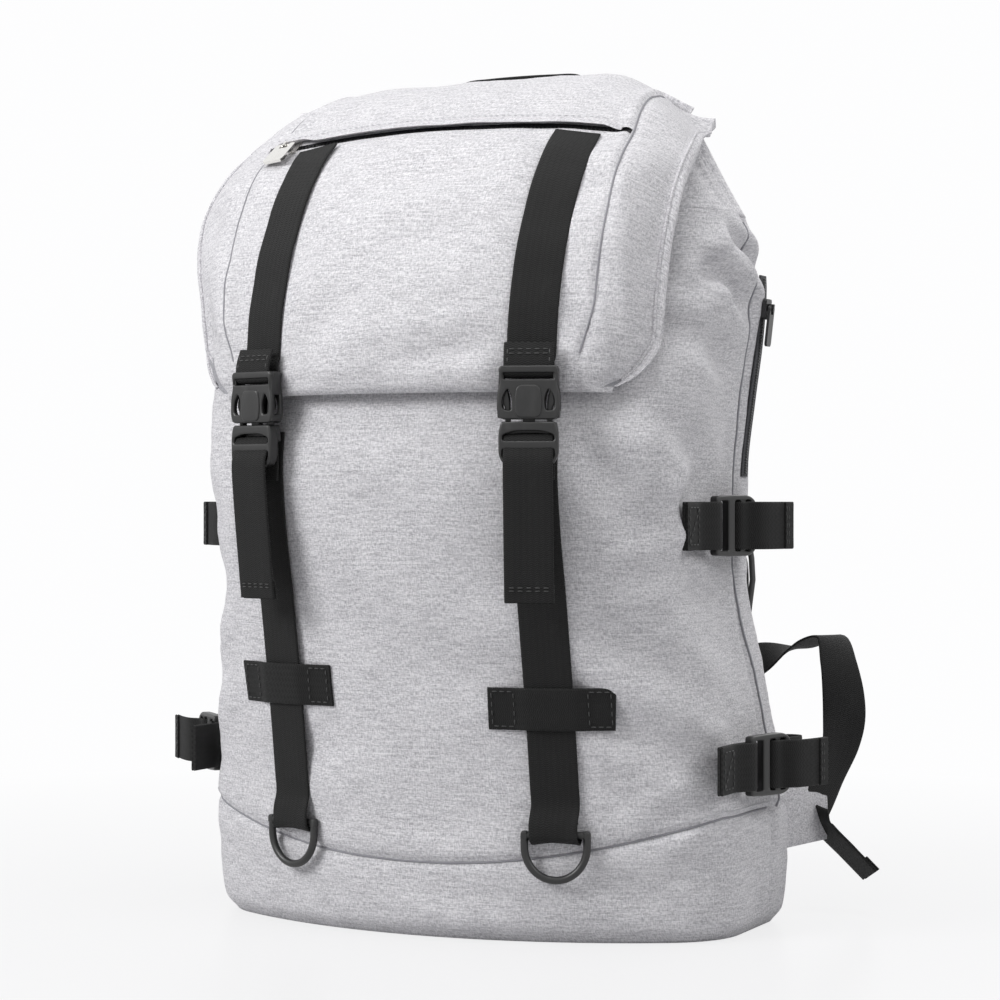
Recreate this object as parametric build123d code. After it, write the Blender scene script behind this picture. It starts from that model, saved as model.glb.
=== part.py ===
from build123d import *
import math
import os

# A daypack standing on its base, in millimetres.
# X runs to the right of someone who faces its front, -Y is the front, +Y the wearer's back, +Z up.
# The origin lies on the ground, under the middle of the pack.

# ---------------------------------------------------------------- driving dimensions
# Body form: each station is (height share of the rim, half width, front, back), where front and
# back are the distances of the middle of the front and back walls from the origin plane.
rim_height = 380.0
base_half_width = 151.0
waist_half_width = 133.0
shoulder_half_width = 144.0
front_reach = 106.0
back_reach = 78.0
front_radius = 250.0
front_corner_radius = 45.0
back_corner_radius = 14.0
wall = 2.4
floor_thickness = 3.0
rear_seam_y = 40.0
base_seam_middle = 40.0
base_seam_side = 64.0

body_stations = [
    (0.000, base_half_width - 11, front_reach - 46, back_reach - 8),
    (0.022, base_half_width - 4, front_reach - 38, back_reach - 2),
    (0.110, base_half_width, front_reach - 34, back_reach),
    (0.230, base_half_width - 2, front_reach - 27, back_reach - 1),
    (0.340, waist_half_width + 9, front_reach - 21, back_reach - 2),
    (0.460, waist_half_width, front_reach - 11, back_reach - 3),
    (0.560, waist_half_width, front_reach - 3, back_reach - 4),
    (0.655, waist_half_width + 1, front_reach, back_reach - 6),
    (0.740, shoulder_half_width - 6, front_reach - 7, back_reach - 9),
    (0.840, shoulder_half_width - 1, front_reach - 26, back_reach - 12),
    (0.920, shoulder_half_width, front_reach - 38, back_reach - 15),
    (1.000, shoulder_half_width - 7, front_reach - 56, back_reach - 20),
]

# Collar above the rim and the back plate that the lid is sewn to.
collar_height = 50.0
collar_thickness = 1.6
collar_narrowing = 25.0
collar_front_rise = 20.0
collar_front_lean = 20.0
collar_corner_radius = 20.0
eyelet_outer = 6.0
eyelet_bore = 2.6
eyelet_thickness = 1.2
eyelet_spacing = 36.0
back_plate_rise = 70.0
hinge_height = rim_height + back_plate_rise
hinge_y = 48.0
plate_thickness = 3.0
plate_side_margin = 32.0
plate_half_width = shoulder_half_width - plate_side_margin
plate_lift = 0.4

# Inside pieces.
board_thickness = 3.0
board_margin = 6.0
sleeve_side_margin = 21.0
sleeve_half_width = waist_half_width - sleeve_side_margin
sleeve_depth = 22.0
sleeve_height = 285.0
sleeve_wall = 2.0

# Lid pocket. The middle profile is (share of the way from the hinge seam to the front, share of
# the lid's drop still to go, thickness of the pocket there); towards the sides each point moves
# back and down.
lid_half_width = 130.0
lid_skin = 2.0
lid_gusset = 2.6
lid_crown = 20.0
lid_corner_radius = 34.0
lid_drop = 169.0
lid_bottom = hinge_height - lid_drop
lid_edge_rise = 4.0
lid_standoff = 5.0
lid_reach = hinge_y + front_reach + lid_standoff
lid_shares = [
    (0.0000, 1.045, 5.0),
    (0.1447, 1.030, 12.0),
    (0.3333, 0.965, 17.0),
    (0.5283, 0.845, 19.0),
    (0.7044, 0.716, 20.0),
    (0.8428, 0.544, 21.0),
    (0.9308, 0.379, 22.0),
    (0.9811, 0.201, 20.0),
    (1.0000, lid_edge_rise / lid_drop, 9.0),
]
lid_profile = [
    (hinge_y - lid_reach * forward, lid_bottom + lid_drop * height, thickness)
    for forward, height, thickness in lid_shares
]
lid_stations = [lid_half_width * share for share in (-1, -0.81, -0.58, -0.31, 0, 0.31, 0.58, 0.81, 1)]

# Lid zip: a curved mouth just below the top, with the slider parked at the left.
zip_mouth = 14.0
zip_tape = 3.0
zip_tape_thickness = 1.2
zip_gap = 0.3
zip_end_margin = 23.2
zip_rest_margin = 32.0
zip_rest_offset = lid_half_width - zip_rest_margin
slider_width = 11.0
slider_length = 12.0
slider_plate = 1.4
pull_width = 13.0
pull_length = 19.0
pull_thickness = 1.6
pull_standoff = 4.4
bail_bore = 0.9
bail_reach = 1.9
storm_flap_width = 17.0
storm_flap_thickness = 1.2

# Webbing and front straps.
webbing = 25.0
webbing_thickness = 1.5
strap_x = 76.0
strap_gap = 0.8
layer_gap = 0.4
tail_length = 69.0
tail_hem = 9.0
keeper_overhang = 20.0
keeper_width = webbing + 2 * keeper_overhang
keeper_height = 22.0
keeper_level = 126.0
keeper_unevenness = 4.5
keeper_thickness = 1.4
ring_level = 57.0

# Side-release buckles.
buckle_cheek = 3.5
buckle_width = webbing + 2 * buckle_cheek
buckle_thickness = 9.0
socket_length = 27.0
clip_length = 22.0
clip_below_lid = 14.0
socket_cavity_width = webbing
socket_cavity_thickness = 5.4
socket_cavity_depth = 18.0
bar_thickness = 3.6
bar_back = 2.4
bar_front = 6.4
slot_height = 3.4
clip_travel = 30.0
prong_clearance = 0.4

# D-rings.
ring_wire = 4.0
ring_play = 1.5
ring_width = webbing + 2 * (ring_wire + ring_play)
ring_drop = 27.0

# Side compression straps, two on each side.
side_levels = {"upper": 214.0, "lower": 90.0}
side_buckle_cheek = 3.5
side_buckle_height = webbing + 2 * side_buckle_cheek
side_buckle_length = 34.0
side_buckle_thickness = 5.0
side_buckle_tilt = 18.0
side_anchor_length = 34.0
side_pivot_y = -6.0
side_pivot_standoff = 6.5
side_bar = 3.2
side_strap_reach = 27.0
side_tail_length = 26.0

# Side zip on the right, behind the rear seam.
side_zip_y = 53.0
side_zip_length = 108.0
side_zip_below_rim = 32.0
side_zip_top = rim_height - side_zip_below_rim
side_zip_bottom = side_zip_top - side_zip_length
side_zip_width = 10.0
side_slider_below_top = 18.0
side_slider_rest = side_zip_top - side_slider_below_top

# Shoulder straps, back pads and grab handle.
shoulder_width = 62.0
shoulder_thickness = 12.0
shoulder_splay = 12.0
shoulder_x = 42.0
pad_thickness = 8.0
pad_width = 62.0
pad_gap = 0.6
handle_half_span = 44.0
handle_rise = 22.0
handle_thickness = 2.4
anchor_height = 9.0
wing_length = 34.0
wing_root = 40.0
wing_thickness = 3.0
wing_level = 58.0


# ---------------------------------------------------------------- shared geometry
def station_values(z):
    """Half width, front Y and back Y of the body at a height."""
    share = min(max(z / rim_height, 0.0), 1.0)
    for low, high in zip(body_stations, body_stations[1:]):
        if share <= high[0]:
            t = (share - low[0]) / (high[0] - low[0])
            half, front, back = (a + (b - a) * t for a, b in zip(low[1:], high[1:]))
            return half, -front, back
    return body_stations[-1][1], -body_stations[-1][2], body_stations[-1][3]


def sag(x, radius=front_radius):
    """How far an arc of this radius falls back at a distance x from its middle."""
    return radius - math.sqrt(radius**2 - x**2)


def front_y(x, z):
    """Y of the front wall's outer face at a place on its arc."""
    return station_values(z)[1] + sag(x)


def outline(z, half, front, back, inset=0.0, corner_radius=front_corner_radius):
    """Closed section of the body: bowed front, round corners, straight sides and back."""
    a = half - inset
    radius = front_radius - inset
    corner = corner_radius - inset
    rear = max(back_corner_radius - inset, 1.0)
    yf = front + inset
    yb = back - inset
    arc_y = yf + radius
    corner_x = a - corner
    corner_y = arc_y - math.sqrt((radius - corner) ** 2 - corner_x**2)
    lean = math.atan2(corner_x, arc_y - corner_y)
    meet = (radius * math.sin(lean), arc_y - radius * math.cos(lean))
    half_lean = (math.pi / 2 + lean) / 2
    mid = (corner_x + corner * math.sin(half_lean), corner_y - corner * math.cos(half_lean))
    rear_mid = (a - rear + rear * math.sqrt(0.5), yb - rear + rear * math.sqrt(0.5))

    def at(x, y):
        return Vector(x, y, z)

    edges = [
        ThreePointArc(at(-meet[0], meet[1]), at(0, yf), at(*meet)),
        ThreePointArc(at(*meet), at(*mid), at(a, corner_y)),
        Line(at(a, corner_y), at(a, yb - rear)),
        ThreePointArc(at(a, yb - rear), at(*rear_mid), at(a - rear, yb)),
        Line(at(a - rear, yb), at(rear - a, yb)),
        ThreePointArc(at(rear - a, yb), at(-rear_mid[0], rear_mid[1]), at(-a, yb - rear)),
        Line(at(-a, yb - rear), at(-a, corner_y)),
        ThreePointArc(at(-a, corner_y), at(-mid[0], mid[1]), at(-meet[0], meet[1])),
    ]
    return make_face(edges)


def body_solid(inset, low, high):
    """The body's outer form, or its inside at an inset, between two heights."""
    heights = [s[0] * rim_height for s in body_stations]
    levels = [low] + [h for h in heights if low + 1 < h < high - 1] + [high]
    return loft([outline(h, *station_values(h), inset) for h in levels], ruled=True)


def ribbon(points, thickness):
    """Closed outline of a thin strip that follows a list of 2-D points."""
    left, right = [], []
    for i, point in enumerate(points):
        before = points[max(i - 1, 0)]
        after = points[min(i + 1, len(points) - 1)]
        to_here = _unit(point[0] - before[0], point[1] - before[1]) if i else None
        to_next = _unit(after[0] - point[0], after[1] - point[1]) if i < len(points) - 1 else None
        to_here = to_here or to_next
        to_next = to_next or to_here
        along = _unit(to_here[0] + to_next[0], to_here[1] + to_next[1])
        mitre = thickness / 2 / max(along[0] * to_here[0] + along[1] * to_here[1], 0.5)
        left.append((point[0] - along[1] * mitre, point[1] + along[0] * mitre))
        right.append((point[0] + along[1] * mitre, point[1] - along[0] * mitre))
    return left + right[::-1]


def _unit(dx, dy):
    length = math.hypot(dx, dy)
    return (dx / length, dy / length)


def turn(centre, radius, start, stop, steps=6):
    """Points of an arc, with angles in degrees."""
    angles = [math.radians(start + (stop - start) * i / steps) for i in range(steps + 1)]
    return [(centre[0] + radius * math.cos(a), centre[1] + radius * math.sin(a)) for a in angles]


def yz_face(points, x):
    """Face at a given X from (Y, Z) points."""
    return make_face(Polyline(*[Vector(x, y, z) for y, z in points], close=True))


def xy_face(points, z):
    """Face at a given Z from (X, Y) points."""
    return make_face(Polyline(*[Vector(x, y, z) for x, y in points], close=True))


def xz_face(points, y):
    """Face at a given Y from (X, Z) points."""
    return make_face(Polyline(*[Vector(x, y, z) for x, z in points], close=True))


def box_between(low, high):
    size = [b - a for a, b in zip(low, high)]
    centre = [(a + b) / 2 for a, b in zip(low, high)]
    return Pos(*centre) * Box(*size)


strap_lean = math.asin(strap_x / front_radius)


def strap_band(side, points, width, x=strap_x):
    """A band whose middle line lies in the plane X = side * x, laid flat on the bowed front."""
    across = Vector(math.cos(strap_lean), side * math.sin(strap_lean), 0)
    face = yz_face(points, side * x).moved(Location(across * (-width / 2)))
    return extrude(face, amount=width, dir=across)


def strap_plane(side, y, z):
    """Plane on the bowed front at a strap: X across, Y up, Z away from the pack."""
    out = Vector(side * math.sin(strap_lean), -math.cos(strap_lean), 0)
    across = Vector(math.cos(strap_lean), side * math.sin(strap_lean), 0)
    return Plane(origin=(side * strap_x, y, z), x_dir=across, z_dir=out)


def place(plane, shape):
    return plane.location * shape


def lid_point(index, x, thickness=0.0):
    """(Y, Z) of a lid profile point at a station, moved inwards by a thickness."""
    y, z, _ = lid_profile[index]
    before = lid_profile[max(index - 1, 0)]
    after = lid_profile[min(index + 1, len(lid_profile) - 1)]
    dy, dz = _unit(after[0] - before[0], after[1] - before[1])
    y, z = y - dz * thickness, z + dy * thickness
    span = hinge_y - lid_profile[-1][0]
    back_share = ((hinge_y - y) / span) ** 2
    fade = min(max((hinge_y - y) / span, 0.0), 1.0)
    drop = lid_crown * (x / lid_half_width) ** 2 * fade * (z - lid_bottom) / lid_drop
    return y + sag(x) * back_share, z - drop


def lid_surface(x, outward=0.0, first=0, last=None):
    """Points of the lid's outer face at a station, from the back forwards, pushed outwards."""
    last = len(lid_profile) if last is None else last
    return [lid_point(i, x, -outward) for i in range(first, last)]


def depth(i):
    return lid_profile[i][2]


PARTS = {}


def keep(name, shape):
    PARTS[name] = shape


# ---------------------------------------------------------------- body, base and back
outer = body_solid(0.0, 0.0, rim_height)
inner = body_solid(wall, floor_thickness, rim_height)
shell = outer - inner

seam_points = ThreePointArc(
    Vector(-200, 0, base_seam_side + 12), Vector(0, 0, base_seam_middle), Vector(200, 0, base_seam_side + 12)
)
seam_lines = Polyline(
    Vector(200, 0, base_seam_side + 12), Vector(200, 0, -20), Vector(-200, 0, -20), Vector(-200, 0, base_seam_side + 12)
)
below_seam = extrude(make_face(seam_points.edges() + seam_lines.edges()), amount=200, dir=(0, 1, 0), both=True)

base_panel = shell & below_seam
upper = shell - below_seam
behind_seam = box_between((-250, rear_seam_y, -10), (250, 250, rim_height + 10))
body_wall = upper - behind_seam
back_wall = upper & behind_seam
rim_back = station_values(rim_height)[2]
plate = extrude(
    yz_face(
        [
            (rim_back, rim_height - 6),
            (hinge_y, hinge_height + plate_lift),
            (hinge_y - plate_thickness, hinge_height + plate_lift),
            (rim_back - plate_thickness, rim_height - 6),
        ],
        -plate_half_width,
    ),
    amount=2 * plate_half_width,
    dir=(1, 0, 0),
)
keep("body_wall", body_wall)
keep("back_panel", back_wall + plate)
keep("base_panel", base_panel)

# Collar: gathered cloth above the rim, cut off along a slope that rises to the back.
rim_half, rim_front, _ = station_values(rim_height)


def collar_solid(inset, low, high):
    def section(z):
        t = (z - rim_height) / collar_height
        narrow = collar_narrowing * t
        return outline(
            z,
            rim_half - narrow,
            rim_front + (collar_front_rise + collar_front_lean) * t,
            rim_back - (rim_back - hinge_y) * t,
            inset,
            front_corner_radius - (front_corner_radius - collar_corner_radius) * t,
        )

    return loft([section(low), section(high)], ruled=True)


collar_low = rim_height + 0.2
collar = collar_solid(0.2, collar_low, rim_height + collar_height) - collar_solid(
    0.2 + collar_thickness, collar_low, rim_height + collar_height
)
collar_cut = extrude(
    yz_face(
        [
            (-160, rim_height + 4),
            (-22, rim_height + 20),
            (hinge_y, rim_height + collar_height),
            (hinge_y, 600),
            (-160, 600),
        ],
        -250,
    ),
    amount=500,
    dir=(1, 0, 0),
)
plate_front = rim_back - plate_thickness - 1.0
plate_slope = math.degrees(math.atan2(rim_back - hinge_y, hinge_height - rim_height))
behind_collar = Pos(0, plate_front, rim_height) * Rot(plate_slope, 0, 0) * Pos(0, 100, 0) * Box(500, 200, 300)
collar = collar - collar_cut - behind_collar
keep("collar", collar)

eyelets = []
for side in (-1, 1):
    t = 9.0 / collar_height
    y = rim_front + (collar_front_rise + collar_front_lean) * t + sag(side * eyelet_spacing / 2)
    tilt = math.degrees(math.atan2(collar_front_rise + collar_front_lean, collar_height))
    ring = Cylinder(eyelet_outer / 2 + 1.5, eyelet_thickness) - Cylinder(eyelet_bore, 5)
    place_at = Pos(side * eyelet_spacing / 2, y - 1.15, rim_height + 9.0) * Rot(90 - tilt, 0, 0)
    eyelets.append(place_at * ring)
keep("collar_eyelets", Compound(children=eyelets))

# ---------------------------------------------------------------- inside
board_half, board_front, board_back = station_values(floor_thickness)
board_face = outline(floor_thickness + 0.4, board_half, board_front, board_back, wall + board_margin)
keep("base_board", extrude(board_face, amount=board_thickness, dir=(0, 0, 1)))

sleeve_back = station_values(sleeve_height)[2] - wall - 1.0
sleeve_bottom = floor_thickness + board_thickness + 1.2
sleeve_outer = box_between(
    (-sleeve_half_width, sleeve_back - sleeve_depth, sleeve_bottom),
    (sleeve_half_width, sleeve_back, sleeve_height),
)
sleeve_inner = box_between(
    (-sleeve_half_width + sleeve_wall, sleeve_back - sleeve_depth + sleeve_wall, sleeve_bottom + sleeve_wall),
    (sleeve_half_width - sleeve_wall, sleeve_back - sleeve_wall, sleeve_height + 5),
)
keep("laptop_sleeve", sleeve_outer - sleeve_inner)


# ---------------------------------------------------------------- lid pocket
def lid_loft(upper_offset, lower_offset, closed_bottom):
    """Loft of a curved layer between two depths below the lid's outer face."""
    sections = []
    count = len(lid_profile)
    for x in lid_stations:
        top = [lid_point(i, x, upper_offset(i)) for i in range(count)]
        under = [lid_point(i, x, lower_offset(i)) for i in range(count)]
        if closed_bottom:
            y_low, z_low = lid_point(count - 1, x, depth(count - 1))
            lip = [(y_low, z_low - 4), (top[-1][0], top[-1][1] - 4)]
            under = under[:-1] + [(under[-1][0], under[-1][1] - 2), (y_low, z_low - 2)]
            points = top + lip[::-1] + under[::-1]
        else:
            points = top + under[::-1]
        sections.append(yz_face(points, x))
    return loft(sections, ruled=True)


def corner_cutter(side):
    """Rounds the lid's lower corner as seen from the front."""
    edge = side * (lid_half_width + lid_gusset)
    r = lid_corner_radius
    square = box_between(
        (min(edge - side * r, edge + side * 20), -200, lid_bottom - 20),
        (max(edge - side * r, edge + side * 20), 0, lid_bottom + r),
    )
    disc = Pos(edge - side * r, -100, lid_bottom + r) * Rot(90, 0, 0) * Cylinder(r, 400)
    return square - disc


corner_cut = corner_cutter(-1) + corner_cutter(1)

skin = lid_loft(lambda i: 0.0, lambda i: lid_skin, True)
liner = lid_loft(lambda i: depth(i) - lid_skin, lambda i: depth(i), False)

# The zip's curved track is an arc about a far axis, in the plane that the lid's face bows in.
zip_index = 3
track_middle = lid_point(zip_index, 0)
track_side = lid_point(zip_index, zip_rest_offset)
bow = (track_side[0] - track_middle[0], track_side[1] - track_middle[1])
bow_depth = math.hypot(*bow)
track_radius = zip_rest_offset**2 / (2 * bow_depth) + bow_depth / 2
inwards = (bow[0] / bow_depth, bow[1] / bow_depth)
track_centre = Vector(0, track_middle[0] + inwards[0] * track_radius, track_middle[1] + inwards[1] * track_radius)
track_axis = Axis(track_centre, Vector(0, -inwards[1], inwards[0]))
track_turn = math.degrees(math.asin(zip_rest_offset / track_radius))
zip_half_angle = math.degrees(math.asin((lid_half_width - zip_end_margin) / track_radius))

# Local directions in the middle plane at the zip: down the face, and out of it.
fore = lid_point(zip_index + 1, 0)
aft = lid_point(zip_index - 1, 0)
down_y, down_z = _unit(fore[0] - aft[0], fore[1] - aft[1])
out_y, out_z = down_z, -down_y


def face_point(down, out):
    """(Y, Z) in the middle plane: so far down the face and so far out from the zip's middle."""
    return (
        track_middle[0] + down_y * down + out_y * out,
        track_middle[1] + down_z * down + out_z * out,
    )


def face_strip(down_from, down_to, out_from, out_to, half_angle):
    """Strip of rectangular section swept along the zip's track, half to each side."""
    corners = [
        face_point(down_from, out_from),
        face_point(down_to, out_from),
        face_point(down_to, out_to),
        face_point(down_from, out_to),
    ]
    swept = revolve(yz_face(corners, 0), axis=track_axis, revolution_arc=2 * half_angle)
    return swept.rotate(track_axis, -half_angle)


mouth = face_strip(-zip_mouth / 2, zip_mouth / 2, -6, 6, zip_half_angle + 0.6)
keep("lid_skin", skin - mouth - corner_cut)
keep("lid_liner", liner - corner_cut)

gussets = []
for side in (-1, 1):
    x = side * lid_half_width
    count = len(lid_profile)
    top = [lid_point(i, x) for i in range(count)]
    under = [lid_point(i, x, depth(i)) for i in range(count)]
    lip = [(top[-1][0], top[-1][1] - 4), (under[-1][0], under[-1][1] - 4)]
    gusset = extrude(yz_face(top + lip + under[::-1], x), amount=lid_gusset, dir=(side, 0, 0))
    gussets.append(gusset - corner_cut)
keep("lid_gussets", Compound(children=gussets))

tape_level = -0.4
tapes = []
for sign in (-1, 1):
    near = sign * (zip_mouth / 2 - zip_tape)
    far = sign * (zip_mouth / 2 - 0.2)
    low, high = sorted((near, far))
    tapes.append(face_strip(low, high, tape_level - zip_tape_thickness, tape_level, zip_half_angle))
keep("lid_zip_tapes", Compound(children=tapes))

flap_level = 2.2
flap_edge = -zip_mouth / 2 - 0.5
flap_top = flap_level + storm_flap_thickness
storm_flap = face_strip(flap_edge - storm_flap_width, flap_edge, flap_level, flap_top, zip_half_angle + 1.4)
keep("storm_flap", storm_flap)

mouth_half = zip_mouth / 2 - zip_tape
slider_angle = math.degrees(slider_length / track_radius) / 2
plate_low = tape_level + zip_gap
slider_top = plate_low + slider_plate
under_top = tape_level - zip_tape_thickness - zip_gap
slider_bottom = under_top - slider_plate
slider = (
    face_strip(-mouth_half - 1.2, slider_width / 2, plate_low, slider_top, slider_angle)
    + face_strip(-slider_width / 2, slider_width / 2, slider_bottom, under_top, slider_angle)
    + face_strip(-mouth_half + zip_gap, mouth_half - zip_gap, slider_bottom, slider_top, slider_angle / 2)
)
bail_middle = 2.3
bail_angle = math.degrees(1.6 / track_radius) / 2
bail = face_strip(
    bail_middle - bail_reach, bail_middle + bail_reach, slider_top - 0.2, pull_standoff + bail_reach, bail_angle
)
slider = slider + bail
pin_point = face_point(bail_middle, pull_standoff)
pin_hole = Pos(0, *pin_point) * Rot(0, 90, 0) * Cylinder(bail_bore, 30)
slider = slider - pin_hole


def pull_frame():
    """Frame at the pull's pin: X along the pin, Y down the face, Z out of the face."""
    return Plane(
        origin=(0, *pin_point),
        x_dir=(-1, 0, 0),
        z_dir=(0, out_y, out_z),
    )


def zip_pull(width, length, thickness, loop_gap):
    """A pull tab forked round the slider's bail, with its pin, lying along its frame's Y."""
    tab = Pos(0, length / 2 - 1.2, 0) * Box(width, length, thickness)
    tab = fillet(tab.edges().filter_by(Axis.Z), 2.0)
    eye = Pos(0, 0.3, 0) * Box(loop_gap, 6.6, thickness + 2)
    pin = Rot(0, 90, 0) * Cylinder(bail_bore - 0.25, loop_gap + 1)
    return tab - eye + pin


pull = place(pull_frame(), zip_pull(pull_width, pull_length, pull_thickness, 5.2))
keep("lid_zip_slider", slider.rotate(track_axis, -track_turn))
keep("lid_zip_pull", pull.rotate(track_axis, -track_turn))

# ---------------------------------------------------------------- front straps
clip_level = lid_bottom - clip_below_lid
buckle_back = min(lid_point(8, strap_x)[0], front_y(strap_x, clip_level)) - 1.0
half_web = webbing_thickness / 2
lean_cos = math.cos(strap_lean)


def out_of(depth_out):
    """Y of a point that stands so far out of the buckle's back face at the strap's middle."""
    return buckle_back - depth_out / lean_cos


def buckle_band(side, points, thickness=webbing_thickness):
    """Webbing through the buckle, from points (distance out of its back face, Z)."""
    plane = strap_plane(side, buckle_back, 0)
    strip = ribbon(points, thickness)
    corners = [plane.from_local_coords(Vector(-webbing / 2, z, out)) for out, z in strip]
    return extrude(make_face(Polyline(*corners, close=True)), amount=webbing, dir=plane.x_dir)


def upper_strap(side):
    """Webbing sewn below the lid zip, down the lid, round the socket's bar and sewn back."""
    offset = strap_gap + half_web
    start_y, start_z = lid_point(zip_index, strap_x)
    down = zip_mouth / 2 + 4
    start = (start_y + down_y * down + out_y * offset, start_z + down_z * down + out_z * offset)
    bar_top = clip_level + socket_length
    bar_bottom = bar_top - bar_thickness
    inner_out = 0.5 + half_web
    outer_out = bar_front + layer_gap + half_web
    below = bar_bottom - layer_gap - half_web
    corner = 0.7
    band = strap_band(
        side,
        ribbon([start] + lid_surface(strap_x, offset, 4, 8) + [(out_of(inner_out), bar_top + 3)], webbing_thickness),
        webbing,
    )
    loop = buckle_band(
        side,
        [
            (inner_out, bar_top + 4),
            (inner_out, below + corner),
            (inner_out + corner, below),
            (outer_out - corner, below),
            (outer_out, below + corner),
            (outer_out, bar_top + 12),
        ],
    )
    return band + loop


def socket(side):
    """Female half of the buckle: hollow shell, windows at the sides, a bar for the webbing."""
    w, h, t = buckle_width, socket_length, buckle_thickness
    shell_part = Pos(0, h / 2, t / 2) * Box(w, h, t)
    shell_part = fillet(shell_part.edges().filter_by(Axis.Z), 3.0)
    shell_part = fillet(shell_part.faces().sort_by(Axis.Z)[-1].edges(), 1.2)
    cavity_y = socket_cavity_depth / 2 - 0.5
    cavity = Pos(0, cavity_y, t / 2) * Box(socket_cavity_width, socket_cavity_depth + 1, socket_cavity_thickness)
    windows = Pos(0, 10.5, t / 2) * Box(w + 2, 9.5, 4.6)
    slot_y = h - bar_thickness - slot_height / 2
    slot = Pos(0, slot_y, t / 2) * Box(webbing + 1.4, slot_height, t + 2)
    bar_y = h - bar_thickness / 2
    relief_low = Pos(0, bar_y, bar_back / 2 - 0.5) * Box(webbing + 1.4, bar_thickness + 0.2, bar_back + 1)
    relief_high = Pos(0, bar_y, (bar_front + t) / 2 + 0.5) * Box(webbing + 1.4, bar_thickness + 0.2, t - bar_front + 1)
    part = shell_part - cavity - windows - slot - relief_low - relief_high
    return place(strap_plane(side, buckle_back, clip_level), part)


def clip(side):
    """Male half: a frame with two slots and a bar between them, below the socket."""
    w, h, t = buckle_width - 2.0, clip_length, buckle_thickness
    frame = Pos(0, -h / 2 - 0.4, t / 2) * Box(w, h, t)
    frame = fillet(frame.edges().filter_by(Axis.Z), 3.0)
    frame = fillet(frame.faces().sort_by(Axis.Z)[-1].edges(), 1.2)
    open_width = webbing + 1.2
    upper_slot = Pos(0, -8.2, t / 2) * Box(open_width, 4.6, t + 2)
    lower_slot = Pos(0, -16.4, t / 2) * Box(open_width, 4.2, t + 2)
    thin_bar_low = Pos(0, -12.4, 0.9) * Box(open_width, 4.6, 2.6)
    thin_bar_high = Pos(0, -12.4, t - 0.9) * Box(open_width, 4.6, 2.6)
    lip_back = Pos(0, -20.4, 0.4) * Box(open_width, 6.0, 4.2)
    part = frame - upper_slot - lower_slot - thin_bar_low - thin_bar_high - lip_back
    return place(strap_plane(side, buckle_back, clip_level), part)


def prongs(side):
    """The two spring arms and the middle tongue that stand in the socket."""
    t = socket_cavity_thickness - 2 * prong_clearance
    reach = socket_cavity_depth - 1.6
    arm_x = socket_cavity_width / 2 - prong_clearance - 1.6
    pieces = []
    for hand in (-1, 1):
        arm = Pos(hand * arm_x, reach / 2 - 0.35, buckle_thickness / 2) * Box(3.2, reach, t)
        head = Pos(hand * (arm_x + 1.6), 10.5, buckle_thickness / 2) * Box(3.0, 7.0, 3.6)
        pieces.append(arm + head)
    pieces.append(Pos(0, reach / 2 - 1.35, buckle_thickness / 2) * Box(6.0, reach - 2, t))
    return Compound(children=[place(strap_plane(side, buckle_back, clip_level), p) for p in pieces])


def strap_tail(side):
    """Webbing threaded round the clip's bar, with its hemmed tail hanging in front."""
    back_layer = 1.0
    over_bar = 7.9
    front_layer = buckle_thickness + layer_gap + half_web
    slot_low, slot_high = clip_level - 16.4, clip_level - 8.2
    tail_end = clip_level - clip_length - tail_length
    swing = 6.5
    path = [
        (back_layer, clip_level - clip_length - 8),
        (back_layer, slot_high - 1.0),
        (back_layer + 1.2, slot_high + 0.5),
        (over_bar - 1.2, slot_high + 0.5),
        (over_bar, slot_high - 1.0),
        (over_bar, slot_low + 2.6),
        (front_layer, slot_low - 0.8),
        (front_layer, clip_level - clip_length - 3),
        (front_layer - swing, tail_end),
    ]
    hem_out = front_layer - swing + webbing_thickness + 0.05
    hem_top_out = hem_out + swing * tail_hem / tail_length
    hem = [(hem_out, tail_end), (hem_top_out, tail_end + tail_hem)]
    return buckle_band(side, path) + buckle_band(side, hem, webbing_thickness + 0.3)


def main_strap(side):
    """Webbing on the front wall, from behind the clip down to the loop that holds the ring."""
    offset = (strap_gap + half_web) / lean_cos
    top = clip_level - 6
    levels = [top] + [s[0] * rim_height for s in reversed(body_stations) if ring_level + 6 < s[0] * rim_height < top]
    path = [(front_y(strap_x, z) - offset, z) for z in levels]
    y_ring = ring_y()
    loop = ring_wire / 2 + layer_gap + half_web
    front_side = y_ring - loop
    back_side = y_ring + loop
    path += [(front_side, ring_level + 5), (front_side, ring_level)]
    path += turn((y_ring, ring_level), loop, 180, 360)[1:-1]
    path += [(back_side, ring_level), (back_side, ring_level + 6)]
    return strap_band(side, ribbon(path, webbing_thickness), webbing)


def ring_y():
    """Y of the ring's bar, so that the webbing's back layer just clears the base."""
    wall_y = min(front_y(strap_x, z) for z in (ring_level + 6, ring_level - 4))
    return wall_y - 0.6 - webbing_thickness - layer_gap - ring_wire / 2


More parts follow.
